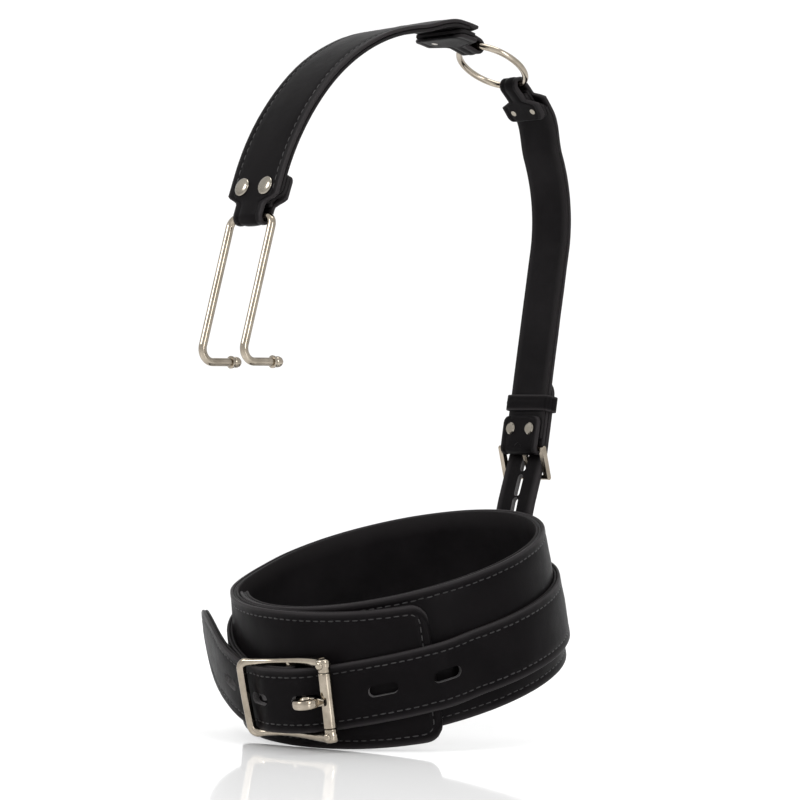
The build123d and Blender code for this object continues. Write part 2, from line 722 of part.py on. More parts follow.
# ---------------------------------------------------------------- rear strap
def nape(run, lift):
    """Point beside the straight run down the nape, run below the back of the head."""
    return step(step(REAR_END, REAR_DOWN, run), BACK_TO, lift)


REAR_NORMAL = (0, cos(radians(BACK_TO)), sin(radians(BACK_TO)))


def nape_face(run, lift, across, outward=True):
    normal = REAR_NORMAL if outward else tuple(-v for v in REAR_NORMAL)
    return Plane(origin=(across, *nape(run, lift)), x_dir=(1, 0, 0), z_dir=normal)


NAPE_FOLD = 2.4
NAPE_HEEL_LIFT = OUTER_LIFT - NAPE_FOLD
NAPE_HEEL = nape(REAR_STRAIGHT, NAPE_HEEL_LIFT)
NAPE_END = nape(REAR_STRAIGHT + NAPE_END_BAR, NAPE_HEEL_LIFT + NAPE_END_LIFT)
NAPE_TAIL = 16
NAPE_RIVET_RUN = REAR_STRAIGHT - 9.5
NAPE_RIVETS = [nape_face(NAPE_RIVET_RUN, 0, side * REAR_RIVET_ACROSS) for side in (-1, 1)]
PRONG_NOTCH = 4.4

with BuildPart() as rear_strap_outer:
    with BuildSketch(Plane.YZ):
        with BuildLine():
            REAR_RING_END.fold()
            rear_run(OUTER_LIFT, REAR_STRAIGHT)
            folded_end(NAPE_HEEL, NAPE_FOLD, BACK_TO, REAR_DOWN, NAPE_TAIL)
        trace(line_width=STRAP_LAYER)
    extrude(amount=REAR_WIDTH / 2, both=True)
    trim_sides(REAR_RING_END.neck_region, RING_NECK / 2, REAR_WIDTH)
    with BuildSketch(Plane.YZ):
        with Locations(NAPE_HEEL):
            Rectangle(8.4, 8.4)
    extrude(amount=PRONG_NOTCH / 2, both=True, mode=Mode.SUBTRACT)
    holes(NAPE_RIVETS + REAR_RING_RIVETS, 8, HOLE_RADIUS)

with BuildPart() as rear_strap_lining:
    with BuildSketch(Plane.YZ):
        with BuildLine():
            REAR_RING_END.lining_start()
            rear_run(LINING_LIFT, REAR_STRAIGHT - LINING_SHORT)
        trace(line_width=STRAP_LINING)
    extrude(amount=REAR_WIDTH / 2, both=True)
    trim_sides(REAR_RING_END.neck_region, RING_NECK / 2, REAR_WIDTH)
    holes(NAPE_RIVETS + REAR_RING_RIVETS, 8, HOLE_RADIUS)

with BuildPart() as rear_tail_lining:
    with BuildSketch(Plane.YZ):
        with BuildLine():
            REAR_RING_END.tail_lining()
        trace(line_width=TAIL_LINING)
    extrude(amount=REAR_WIDTH / 2, both=True)
    trim_sides(REAR_RING_END.neck_region, RING_NECK / 2, REAR_WIDTH)
    holes(REAR_RING_RIVETS, 8, HOLE_RADIUS)

with BuildPart() as rear_ring_rivets:
    for side in (-1, 1):
        ring_rivet(REAR_RING_END, side * REAR_RIVET_ACROSS)

NAPE_INSIDE = NAPE_HEEL_LIFT - NAPE_FOLD - STRAP_LAYER / 2
with BuildPart() as nape_rivets:
    for side in (-1, 1):
        inside = nape_face(NAPE_RIVET_RUN, NAPE_INSIDE, side * REAR_RIVET_ACROSS, outward=False)
        rivet(inside, OUTER_LIFT + STRAP_LAYER / 2 - NAPE_INSIDE, 3.0, 0.8)

KEEPER_RUN = 74
KEEPER_LEATHER = 1.4
KEEPER_WIDTH = 8
KEEPER_INSIDE = (-0.3, 6.9)
with BuildPart() as strap_keeper:
    middle = sum(KEEPER_INSIDE) / 2
    opening = KEEPER_INSIDE[1] - KEEPER_INSIDE[0]
    across = Plane(
        origin=(0, *nape(KEEPER_RUN, middle)), x_dir=(1, 0, 0),
        z_dir=(0, cos(radians(REAR_DOWN)), sin(radians(REAR_DOWN))),
    )
    with BuildSketch(across):
        RectangleRounded(REAR_WIDTH + 3.8, opening + 2 * KEEPER_LEATHER, 1.6)
        RectangleRounded(REAR_WIDTH + 1.0, opening, 0.4, mode=Mode.SUBTRACT)
    extrude(amount=KEEPER_WIDTH)

# ---------------------------------------------------------------- nape buckle
NAPE_SIDE = REAR_WIDTH / 2 + 0.4
PRONG_THICKNESS = 1.6
PRONG_WIDTH = 2.4
with BuildPart() as nape_buckle_frame:
    for side in (-1, 1):
        with BuildSketch(Plane.YZ.offset(side * NAPE_SIDE)):
            with BuildLine():
                Line(NAPE_HEEL, NAPE_END)
            trace(line_width=2 * NAPE_BAR)
            with Locations(NAPE_HEEL, NAPE_END):
                Circle(NAPE_BAR)
        extrude(amount=side * 2 * NAPE_BAR)
    with BuildSketch(Plane.YZ):
        with Locations(NAPE_HEEL, NAPE_END):
            Circle(NAPE_BAR)
    extrude(amount=NAPE_SIDE, both=True)

with BuildPart() as nape_prong:
    with BuildSketch(Plane.YZ):
        with Locations(NAPE_HEEL):
            Circle(NAPE_BAR + RUNNING + 1.3)
        with BuildLine():
            Line(nape(REAR_STRAIGHT + 1, 2.3), nape(REAR_STRAIGHT + 15.5, 10.5))
        trace(line_width=PRONG_THICKNESS)
        with Locations(NAPE_HEEL):
            Circle(NAPE_BAR + RUNNING, mode=Mode.SUBTRACT)
    extrude(amount=PRONG_WIDTH / 2, both=True)

# ---------------------------------------------------------------- tether from the collar
TETHER_LOW = -11
TETHER_EXIT = 17
TETHER_TIP = 65
TETHER_LIFT = 5.4
TETHER_BEND = 9
TETHER_GAP = 0.15           # between the tether and the collar's wall
TETHER_HOLE_LENGTH = 10.5
TETHER_HOLE_WIDTH = 3.6
TETHER_HOLE_RUNS = (71, 83, 95, REAR_STRAIGHT + 6, 120, 132)


def collar_back(height, lift):
    """Point behind the back of the wall, in the YZ plane."""
    origin = collar_plane(180, COLLAR_RADIUS + lift, height).origin
    return (origin.Y, origin.Z)


TETHER_ROUTE = [
    nape(TETHER_TIP, TETHER_LIFT),
    nape(REAR_STRAIGHT + 3, TETHER_LIFT),
    nape(REAR_STRAIGHT + NAPE_END_BAR, 3.4),
    nape(REAR_STRAIGHT + 27, 1.4),
    collar_back(TETHER_EXIT, TETHER_GAP + TETHER_THICKNESS / 2),
    collar_back(TETHER_LOW, TETHER_GAP + TETHER_THICKNESS / 2),
]
with BuildPart() as tether_strap:
    with BuildSketch(Plane.YZ):
        with BuildLine():
            FilletPolyline(*TETHER_ROUTE, radius=TETHER_BEND)
        trace(line_width=TETHER_THICKNESS)
    extrude(amount=REAR_WIDTH / 2, both=True)
    for run in TETHER_HOLE_RUNS:
        face = nape_face(run, TETHER_LIFT, 0)
        with BuildSketch(Plane(face.origin, x_dir=face.y_dir, z_dir=face.z_dir)) as hole:
            SlotOverall(TETHER_HOLE_LENGTH, TETHER_HOLE_WIDTH)
        extrude(hole.sketch, amount=9, both=True, mode=Mode.SUBTRACT)
    back_holes()

with BuildPart() as back_rivets:
    outside = belt_lift(180) + BELT_BACKING + LAYER_GAP + BELT_LEATHER
    for side in (-1, 1):
        for across in BACK_RIVETS_ACROSS:
            seat = belt_point(180 + side * BACK_RIVET_TURN, outside + 0.1, across)
            rivet(seat, outside + 0.1 + WALL, 3.6, 0.9)


for builder, name in (
    (collar_outer, "collar_outer"),
    (collar_padding, "collar_padding"),
    (collar_lining, "collar_lining"),
    (belt_strap, "belt_strap"),
    (belt_backing, "belt_backing"),
    (belt_rivets, "belt_rivets"),
    (back_rivets, "back_rivets"),
    (buckle_frame, "buckle_frame"),
    (buckle_pin, "buckle_pin"),
    (buckle_roller, "buckle_roller"),
    (locking_tongue, "locking_tongue"),
    (tether_strap, "tether_strap"),
    (nape_buckle_frame, "nape_buckle_frame"),
    (nape_prong, "nape_prong"),
    (nape_rivets, "nape_rivets"),
    (strap_keeper, "strap_keeper"),
    (rear_strap_outer, "rear_strap_outer"),
    (rear_strap_lining, "rear_strap_lining"),
    (rear_tail_lining, "rear_tail_lining"),
    (rear_ring_rivets, "rear_ring_rivets"),
    (crown_ring, "crown_ring"),
    (crown_rivets, "crown_rivets"),
    (crown_tail_lining, "crown_tail_lining"),
    (front_strap_outer, "front_strap_outer"),
    (front_strap_lining, "front_strap_lining"),
    (hook_tail_lining, "hook_tail_lining"),
    (hook_rivet_caps, "hook_rivet_caps"),
    (hook_rivet_posts, "hook_rivet_posts"),
    (nose_hook, "nose_hook"),
    (hook_tip_left, "hook_tip_left"),
    (hook_tip_right, "hook_tip_right"),
):
    export(builder, name)
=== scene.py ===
import json
from math import cos, pi, radians, sin, sqrt, tan

import bmesh
import bpy
import numpy as np
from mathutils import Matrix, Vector, noise


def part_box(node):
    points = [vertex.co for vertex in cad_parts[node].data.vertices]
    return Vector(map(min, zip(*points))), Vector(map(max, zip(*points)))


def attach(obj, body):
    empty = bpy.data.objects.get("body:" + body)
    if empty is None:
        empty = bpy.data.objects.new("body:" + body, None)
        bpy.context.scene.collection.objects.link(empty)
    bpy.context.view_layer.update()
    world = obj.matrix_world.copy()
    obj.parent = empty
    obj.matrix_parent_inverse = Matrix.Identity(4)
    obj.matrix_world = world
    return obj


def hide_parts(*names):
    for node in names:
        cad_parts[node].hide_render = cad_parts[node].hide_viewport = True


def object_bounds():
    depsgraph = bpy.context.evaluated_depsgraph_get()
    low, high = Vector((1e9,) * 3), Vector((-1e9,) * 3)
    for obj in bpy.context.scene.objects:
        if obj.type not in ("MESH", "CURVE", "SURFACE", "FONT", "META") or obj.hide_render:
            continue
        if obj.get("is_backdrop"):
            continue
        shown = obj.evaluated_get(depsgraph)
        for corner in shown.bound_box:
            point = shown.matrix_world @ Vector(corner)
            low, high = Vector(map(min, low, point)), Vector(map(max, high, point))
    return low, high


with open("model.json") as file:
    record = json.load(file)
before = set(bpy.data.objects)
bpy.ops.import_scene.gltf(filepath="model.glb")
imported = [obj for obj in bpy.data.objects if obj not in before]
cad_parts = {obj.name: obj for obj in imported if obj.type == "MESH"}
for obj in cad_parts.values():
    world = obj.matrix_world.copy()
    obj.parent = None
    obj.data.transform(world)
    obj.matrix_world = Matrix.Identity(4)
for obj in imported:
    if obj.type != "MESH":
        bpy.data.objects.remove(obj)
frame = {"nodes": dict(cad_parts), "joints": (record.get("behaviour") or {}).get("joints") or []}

CAD_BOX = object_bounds()
MM = 0.001
JOINTS = {joint["name"]: joint for joint in frame["joints"]}

# ---------------------------------------------------------------- collar, mm and degrees as in the CAD
COLLAR_TILT = 10.5          # forward lean of the collar's axis
COLLAR_CONE = 2.4           # half angle, narrower at the top
COLLAR_HEIGHT = 63.5
COLLAR_RADIUS = 75.7        # outside of the wall at mid height
OUTER_LEATHER, PADDING, LINING, WALL = 1.6, 1.1, 1.4, 4.3
RIM_RISE = 7.3              # the back of the wall stands this much higher than the sides
FLAP_START, FLAP_END = -38, 57
FLAP_DROP = 5.6             # how far the flap's free end sits below the band under it
FLAP_LAP = WALL + 0.3       # how far the flap lies outside the band under it
CORNER = 8                  # radius of the flap's corners
SEAM = 4.0                  # rows of stitches inside the edges

# ---------------------------------------------------------------- belt
BELT_WIDTH, BELT_LEATHER, BELT_BACKING = 30, 1.6, 1.4
BELT_TIP, TIP_LENGTH = -64, 26
TIP_CURL, TIP_CURL_FROM = 0.00013, -14
BELT_BACK, BELT_FRONT = 0.2, -15.2      # mid height of the belt at the back and at the buckle
BELT_GAP = 0.3                          # between the belt and what it lies on
BAR_RAISE, HEEL_DROP = 8.2, 2.9         # free end up over the centre bar, down under the heel bar
TAIL_RAISE, FOLD_RAISE = 1.85, 1.1      # belt up over its own folded end, and up to the fold
SLOT_LENGTH, SLOT_WIDTH = 14, 5.2
SLOT_ANGLES = (60.4, 39.8, 16.4, -1.5, -20.5)

# ---------------------------------------------------------------- belt buckle, from its centre bar
BUCKLE_ANGLE, BAR_LIFT, BAR_RADIUS, FOLD_INNER = 9, 4.1, 2.0, 2.15
HEEL_X, HEEL_LIFT = -25.0, 4.2
ROLLER_X, ROLLER_LIFT, ROLLER_RADIUS = 22.5, 2.9, 3.1
ARM_INSIDE, ARM_WIDTH = 15.3, 2.6
LUG_START = 12.9                        # inner face of the lugs that hold the roller
EYE_X, EYE_LIFT, EYE_RADIUS, EYE_WALL = 15.6, 10.2, 3.6, 2.6
TONGUE_WIDTH, TONGUE_NOTCH = 4.4, 6.4

# ---------------------------------------------------------------- head strap
CROWN_CENTRE, CROWN_RADIUS = (11.4, 184.1), 98
FOREHEAD_RADIUS, FOREHEAD_FROM, FOREHEAD_TO = 125.3, 135.4, 160
BACK_RADIUS, BACK_FROM, BACK_TO = 84, 62, -10.4
HOOK_DROP = 18.9                        # straight end, down to the hook's crossbar
STRAP_WIDTH, STRAP_LAYER, STRAP_LINING = 35, 1.8, 1.6
OUTER_LIFT, LINING_LIFT = 2.8, 0.8      # middles of the layers above the head
FOLD_RADIUS, NECK_WIDTH, NECK_LENGTH, TAIL_LENGTH = 3.0, 20, 8, 21
HOOK_LINING, LINING_SHORT = 1.9, 6
RIVET_RISE, RIVET_SPACING = 13.7, 16.4
RING_FOLD, RING_NECK = 3.2, 12
RING_TAIL, RING_EASE = 13, 14           # degrees of crown for a folded end, and to come down again
RING_NEAR, RING_FAR = 3.4, 6.5          # degrees of crown to the end of the narrow part
STACK_LINING, STACK_TAIL_LINING, TAIL_LINING = 5.4, 3.2, 2.0
STRAP_CORNER, LINING_CORNER = 3.5, 3
LINING_TRIM = 0.5                       # a lining is this much narrower than its leather
PAST_END = 1e6                          # a run beyond any strap's end

# ---------------------------------------------------------------- rear strap, keeper and tether
REAR_WIDTH, REAR_STRAIGHT, REAR_SEAM = 25, 101, 3.5
REAR_LINING_SHORT = 5                   # the lining stops this far before the straight end
NAPE_FOLD, NAPE_TAIL, NAPE_END_BAR = 2.4, 16, 13.5
NAPE_HEEL_LIFT = OUTER_LIFT - NAPE_FOLD
PRONG_SLOT = (12.0, 4.4)
TETHER_THICKNESS, TETHER_SPREAD, TETHER_GAP = 2.4, 1.3, 0.15
TETHER_LIFT, TETHER_TIP, TETHER_LOW, TETHER_EXIT, TETHER_BEND = 5.4, 65, -11, 17, 9
TETHER_HOLES, TETHER_HOLE = (71, 83, 95, REAR_STRAIGHT + 6, 120, 132), (11.5, 3.8)
KEEPER_RUN, KEEPER_WIDE, KEEPER_LEATHER, KEEPER_LOW, KEEPER_HIGH = 74, 8, 1.4, -0.3, 6.9

# directions of the collar's own frame
LEFT = np.array((1.0, 0, 0))
FRONT = np.array((0, -cos(radians(COLLAR_TILT)), -sin(radians(COLLAR_TILT))))
UP = np.array((0, -sin(radians(COLLAR_TILT)), cos(radians(COLLAR_TILT))))


# ---------------------------------------------------------------- paths that the leather follows
def smooth(value, low, high):
    t = min(1, max(0, (value - low) / (high - low)))
    return t * t * (3 - 2 * t)


class Path:
    """A strap's middle surface: points, outward normals and the direction across it."""

    def __init__(self, points, normals, across, labels=None):
        points = np.array(points, float)
        steps = np.linalg.norm(np.diff(points, axis=0), axis=1)
        keep = np.concatenate(([True], steps > 1e-4))
        self.points = points[keep]
        self.normals = np.array(normals, float)[keep]
        self.across = np.array(across, float)[keep]
        self.labels = None if labels is None else np.array(labels, float)[keep]
        steps = np.linalg.norm(np.diff(self.points, axis=0), axis=1)
        self.run = np.concatenate(([0], np.cumsum(steps)))
        self.length = self.run[-1]

    def blend(self, table, u):
        return np.stack([np.interp(u, self.run, table[:, k]) for k in range(3)], axis=-1)

    def map(self, u, v, w):
        """Points in metres, u mm along, v mm across and w mm outward."""
        u, v, w = (np.asarray(x, float) for x in (u, v, w))
        place = self.blend(self.points, u)
        place = place + self.blend(self.normals, u) * w[..., None]
        return (place + self.blend(self.across, u) * v[..., None]) * MM

    def at(self, label):
        """Run in mm at a label, such as an angle round the collar."""
        return float(np.interp(label, self.labels, self.run))


def polar(centre, radius, angle):
    return np.array((centre[0] + radius * cos(radians(angle)), centre[1] + radius * sin(radians(angle))))


def arc(centre, radius, start, end):
    count = max(8, int(abs(radians(end - start)) * radius / 0.7) + 2)
    return [polar(centre, radius, a) for a in np.linspace(start, end, count)]


def line(start, end):
    count = max(2, int(np.linalg.norm(np.subtract(end, start)) / 1.5) + 1)
    return [np.array(start) + (np.array(end) - np.array(start)) * t for t in np.linspace(0, 1, count)]


def ease(start, start_way, end, end_way):
    """Hermite curve between two points with given directions."""
    start, end = np.array(start), np.array(end)
    size = np.linalg.norm(end - start)
    out = []
    for t in np.linspace(0, 1, 26):
        h = (2 * t ** 3 - 3 * t * t + 1, t ** 3 - 2 * t * t + t, -2 * t ** 3 + 3 * t * t, t ** 3 - t * t)
        out.append(h[0] * start + h[1] * size * start_way + h[2] * end + h[3] * size * end_way)
    return out


def fillet(corners, radius):
    """A polyline with its corners rounded, as closely spaced points."""
    corners = [np.array(c, float) for c in corners]
    out = [corners[0]]
    for before, corner, after in zip(corners, corners[1:], corners[2:]):
        back = (before - corner) / np.linalg.norm(before - corner)
        ahead = (after - corner) / np.linalg.norm(after - corner)
        half = np.arccos(np.clip(back @ ahead, -1, 1)) / 2
        start, end = corner + back * radius / tan(half), corner + ahead * radius / tan(half)
        for t in np.linspace(0, 1, 14):
            out.append((1 - t) ** 2 * start + 2 * t * (1 - t) * corner + t * t * end)
    out.append(corners[-1])
    dense = []
    for p, q in zip(out, out[1:]):
        dense += line(p, q)
    return dense


def plane_path(points, side=1):
    """Path in the YZ plane; its width is along X."""
    points = np.array(points, float)
    steps = np.linalg.norm(np.diff(points, axis=0), axis=1)
    points = points[np.concatenate(([True], steps > 1e-3))]
    way = np.gradient(points, axis=0)
    way /= np.linalg.norm(way, axis=1)[:, None]
    zero = np.zeros(len(points))
    normals = np.stack((zero, way[:, 1] * side, -way[:, 0] * side), axis=1)
    across = np.tile((1.0, 0, 0), (len(points), 1))
    return Path(np.column_stack((zero, points)), normals, across)


def wall_height(angle):
    return -RIM_RISE * cos(radians(angle)) - FLAP_DROP * smooth(angle, 350, 372 + FLAP_END)


def wall_radius(angle):
    return COLLAR_RADIUS + FLAP_LAP * smooth(angle, 284, 318)


def belt_height(angle):
    if angle < 180:
        rise = 0.125 * max(0, angle - 26) + 0.36 * max(0, -9 - angle)
        return BELT_FRONT + rise if angle < 0 else min(BELT_BACK, BELT_FRONT + rise)
    return BELT_BACK + (BELT_FRONT - BELT_BACK) * smooth(angle, 290, 351)


def belt_lift(angle):
    over_tether = (TETHER_THICKNESS + TETHER_SPREAD) * (1 - smooth(abs(angle - 180), 12, 24))
    if angle < 180:
        over_flap = FLAP_LAP * (1 - smooth(angle, 58, 74))
        over_bar = BAR_RAISE * (1 - smooth(angle, 11, 30)) - HEEL_DROP * (1 - smooth(angle, -7, 3))
        free_end = TIP_CURL * max(0, TIP_CURL_FROM - angle) ** 3
        return BELT_GAP + over_tether + over_flap + over_bar + free_end
    over_tail = TAIL_RAISE * smooth(angle, 338, 350) + FOLD_RAISE * smooth(angle, 354, 368)
    return BELT_GAP + over_tether + over_tail


def belt_radius(angle):
    return (COLLAR_RADIUS if angle < 180 else wall_radius(angle)) + belt_lift(angle)


def ring_frame(angle, radius, height):
    """Point, outward normal, direction up the wall and direction along it."""
    turn, cone = radians(angle), radians(COLLAR_CONE)
    outward = LEFT * sin(turn) + FRONT * cos(turn)
    along = LEFT * cos(turn) - FRONT * sin(turn)
    rise = UP * cos(cone) - outward * sin(cone)
    normal = outward * cos(cone) + UP * sin(cone)
    return outward * (radius - height * tan(cone)) + UP * height, normal, rise, along


def wrap_path(start, end, radius, height, step=1.0):
    """Path round the collar between two angles."""
    angles = np.linspace(start, end, int(abs(end - start) / step) + 2)
    rows = [ring_frame(a, radius(a), height(a)) for a in angles]
    return Path([r[0] for r in rows], [r[1] for r in rows], [r[2] for r in rows], angles)


# ---------------------------------------------------------------- mesh helpers
def mesh_object(name, verts, faces, edge=None, materials=()):
    mesh = bpy.data.meshes.new(name)
    mesh.from_pydata([tuple(v) for v in verts], [], faces)
    piece = bpy.data.objects.new(name, mesh)
    bpy.context.scene.collection.objects.link(piece)
    for material in materials:
        mesh.materials.append(material)
    if edge is not None:
        # store the painted sheen weight per point; the leather material lightens the edges by it
        layer = mesh.attributes.new("painted_edge_sheen", "FLOAT", "POINT")
        layer.data.foreach_set("value", np.array(edge, np.float32))
    bm = bmesh.new()
    bm.from_mesh(mesh)
    bmesh.ops.recalc_face_normals(bm, faces=bm.faces)
    bm.to_mesh(mesh)
    bm.free()
    soften(piece)
    return piece


def soften(piece, angle=38):
    piece.data.polygons.foreach_set("use_smooth", [True] * len(piece.data.polygons))
    piece.data.set_sharp_from_angle(angle=radians(angle))


def rings_to_faces(rows, columns, closed_rows=False):
    faces = []
    for i in range(rows if closed_rows else rows - 1):
        for j in range(columns):
            a, b = i * columns + j, i * columns + (j + 1) % columns
            nxt = ((i + 1) % rows) * columns
            faces.append((a, b, nxt + (j + 1) % columns, nxt + j))
    return faces


def section(half, thick, stitch, groove, bulge, corner):
    """Closed outline of a strap's section: arrays across, outward and a painted sheen weight for the edges.
    """
    top = thick / 2
    scale = min(1, half / (stitch + 3.2))
    quarter = [radians(a) for a in (0, 22, 45, 67, 90)]
    # weight 1 on the rounded edge and 0.35 just inside it: painted sheen, a lighter line where the rounded
    # edge catches the light
    right = [(half - corner + corner * cos(a), top - corner + corner * sin(a), 1.0) for a in quarter]
    marks = ((1.5, 0.0, 0.35), (stitch - 1.2, 0.0, 0), (stitch - 0.45, 0.6, 0), (stitch, 1.0, 0),
             (stitch + 0.45, 0.6, 0), (stitch + 1.2, 0.0, 0))
    right += [(half - m * scale, top - groove * d, painted_edge_sheen) for m, d, painted_edge_sheen in marks]
    reach = half - (stitch + 1.2) * scale
    middle = [(reach * t, top + bulge * (1 - t * t), 0.0) for t in np.linspace(1, -1, 11)[1:-1]]
    over = right + middle + [(-v, w, painted_edge_sheen) for v, w, painted_edge_sheen in reversed(right)]
    under = [(-v, -w, painted_edge_sheen) for v, w, painted_edge_sheen in right[:5]]
    under += [((half - corner) * t, -top, 0.0) for t in np.linspace(-1, 1, 8)[1:-1]]
    under += [(v, -w, painted_edge_sheen) for v, w, painted_edge_sheen in reversed(right[:5])]
    ring = np.array(over + under[1:-1])
    return ring[:, 0], ring[:, 1], ring[:, 2]


def ribbon(name, path, start, end, half, thick, material, stitch=4.0, groove=0.2, bulge=0.15,
           corner=0.7, creases=0.1, seed=1.0, step=1.8, end_seam=False):
    """A strap of leather along a path, with rounded edges and sunken seam lines."""
    corner = min(corner, thick * 0.49)
    count = int((end - start) / step) + 2
    stations = [(u, 0.0) for u in np.linspace(start + corner, end - corner, count)]
    lean = [corner * (1 - cos(radians(a))) for a in (30, 60, 84)]
    reach = [corner * sin(radians(a)) for a in (30, 60, 84)]
    stations = [(start + corner - r, c) for r, c in zip(reversed(reach), reversed(lean))] + stations
    stations += [(end - corner + r, c) for r, c in zip(reach, lean)]
    if end_seam:
        stations = sorted(stations + [(end - stitch + d, 0.0) for d in (-0.9, -0.4, 0.0, 0.4, 0.9)])
    verts, painted_sheen_rows = [], []
    for u, inset in stations:
        swell = bulge * smooth(min(u - start, end - u), 1, 18)
        v, w, painted_edge_sheen = section(half(u) - inset, thick - 2 * inset, stitch, groove, swell,
                             min(corner, thick / 2 - inset))
        if end_seam:
            sunk = groove * max(0, 1 - abs(u - end + stitch) / 0.9)
            w = w - sunk * (w > 0) * (np.abs(v) < half(u) - stitch - 0.3)
        crease = np.array([noise.noise(Vector((u * 0.055, y * 0.09, seed))) for y in v])
        fine = np.array([noise.noise(Vector((u * 0.35, y * 0.45, seed + 7))) for y in v])
        w = w + creases * (crease + 0.3 * fine)
        verts.append(path.map(np.full(len(v), u), v, w))
        # keep this ring's painted sheen weights, which lighten the leather along its edges
        painted_sheen_rows.append(painted_edge_sheen)
    columns = len(verts[0])
    faces = rings_to_faces(len(verts), columns)
    faces.append(tuple(range(columns)))
    last = (len(verts) - 1) * columns
    faces.append(tuple(last + j for j in range(columns)))
    return mesh_object(name, np.concatenate(verts), faces, np.concatenate(painted_sheen_rows), [material])


def rounded(width, corner, start=None, end=None):
    """Half width of a strap whose corners are rounded at the given ends."""
    def half(u):
        inset = 0.0
        for limit in (start, end):
            run = 1e9 if limit is None else abs(limit - u)
            if run < corner:
                inset = max(inset, corner - sqrt(corner ** 2 - (corner - run) ** 2))
        return width / 2 - inset
    return half


def necked(half, neck, near, far, soft):
    """The half width, narrowed to a neck between two runs, with curved shoulders."""
    def width(u):
        inside = smooth(u, near - soft, near) * (1 - smooth(u, far, far + soft))
        return half(u) * (1 - inside) + neck * inside
    return width


def punch(piece, path, holes, material):
    """Cut oblong holes (u, v, length, width) through a strap; the cut walls get their own material."""
    verts, faces = [], []
    for u0, v0, length, width in holes:
        radius, straight = width / 2, (length - width) / 2
        outline = []
        for side in (1, -1):
            for a in np.linspace(-pi / 2, pi / 2, 13):
                outline.append((u0 + side * (straight + radius * cos(a)), v0 + side * radius * sin(a)))
        base, size = len(verts), len(outline)
        u, v = (np.array([p[k] for p in outline]) for k in (0, 1))
        for w in (-2.4, 2.4):
            verts += list(path.map(u, v, np.full(size, w)))
        faces += [(base + j, base + (j + 1) % size, base + size + (j + 1) % size, base + size + j)
                  for j in range(size)]
        faces += [tuple(range(base, base + size)), tuple(range(base + size, base + 2 * size))]
    cutter = mesh_object(piece.name + "_cutter", verts, faces, None, [material])
    piece.data.materials.append(material)
    cut = piece.modifiers.new("holes", "BOOLEAN")
    cut.object, cut.operation, cut.solver, cut.material_mode = cutter, "DIFFERENCE", "MANIFOLD", "TRANSFER"
    bpy.context.view_layer.update()
    done = bpy.data.meshes.new_from_object(piece.evaluated_get(bpy.context.evaluated_depsgraph_get()))
    piece.modifiers.clear()
    piece.data = done
    bpy.data.objects.remove(cutter)
    soften(piece)


def stitches(name, path, route, lift, material, pitch=3.9, length=2.9, radius=0.33):
    """Thread showing between needle holes along a route of (u, v) points."""
    route = np.array(route, float)
    run = np.concatenate(([0], np.cumsum(np.linalg.norm(np.diff(route, axis=0), axis=1))))
    verts, faces = [], []
    around = np.linspace(0, 2 * pi, 6, endpoint=False)
    for k in range(int(run[-1] / pitch)):
        drift = noise.noise(Vector((k * 1.7, lift, 3.0)))
        middle = (k + 0.5 + 0.08 * drift) * pitch
        spots = middle + np.array((-0.5, -0.4, -0.15, 0.15, 0.4, 0.5)) * length
        fat = np.array((0.25, 0.85, 1.0, 1.0, 0.85, 0.25)) * radius
        sink = np.array((-0.30, -0.05, 0.0, 0.0, -0.05, -0.30))
        u = np.interp(spots, run, route[:, 0])
        v = np.interp(spots, run, route[:, 1])
        way = np.array((u[-1] - u[0], v[-1] - v[0]))
        way /= np.linalg.norm(way)
        base = len(verts)
        for i in range(len(spots)):
            side = fat[i] * np.cos(around)
            up = lift + sink[i] + 0.8 * fat[i] * np.sin(around)
            aside = v[i] + 0.22 * drift
            verts += list(path.map(u[i] - way[1] * side, aside + way[0] * side, up))
        faces += [tuple(base + j for j in face) for face in rings_to_faces(len(spots), 6)]
        faces.append(tuple(base + j for j in range(6)))
        faces.append(tuple(base + 30 + j for j in range(6)))
    return mesh_object(name, verts, faces, None, [material])


def edge_routes(start, end, half, inset, step=2.0):
    """Two seam lines, a fixed distance inside the edges."""
    us = np.linspace(start, end, int((end - start) / step) + 2)
    return [[(u, side * max(0.4, half(u) - inset)) for u in us] for side in (1, -1)]


def join(name, pieces):
    """One object from several that share their materials."""
    bm = bmesh.new()
    for piece in pieces:
        bm.from_mesh(piece.data)
    mesh = bpy.data.meshes.new(name)
    bm.to_mesh(mesh)
    bm.free()
    for material in pieces[0].data.materials:
        mesh.materials.append(material)
    for piece in pieces:
        bpy.data.objects.remove(piece)
    joined = bpy.data.objects.new(name, mesh)
    bpy.context.scene.collection.objects.link(joined)
    soften(joined)
    return joined


def lathe(name, profile, origin, axis, material, count=48):
    """Turned shape: profile of (radius, along) points in mm round an axis through a point in metres."""
    axis = Vector(axis).normalized()
    side = axis.orthogonal().normalized()
    other = axis.cross(side)
    verts, faces = [], []
    for r, along in profile:
        for k in range(count):
            turn = 2 * pi * k / count
            arm = side * cos(turn) + other * sin(turn)
            verts.append(Vector(origin) + (arm * max(r, 1e-3) + axis * along) * MM)
    faces = rings_to_faces(len(profile), count)
    faces.append(tuple(range(count)))
    faces.append(tuple((len(profile) - 1) * count + k for k in range(count)))
    return mesh_object(name, verts, faces, None, [material])


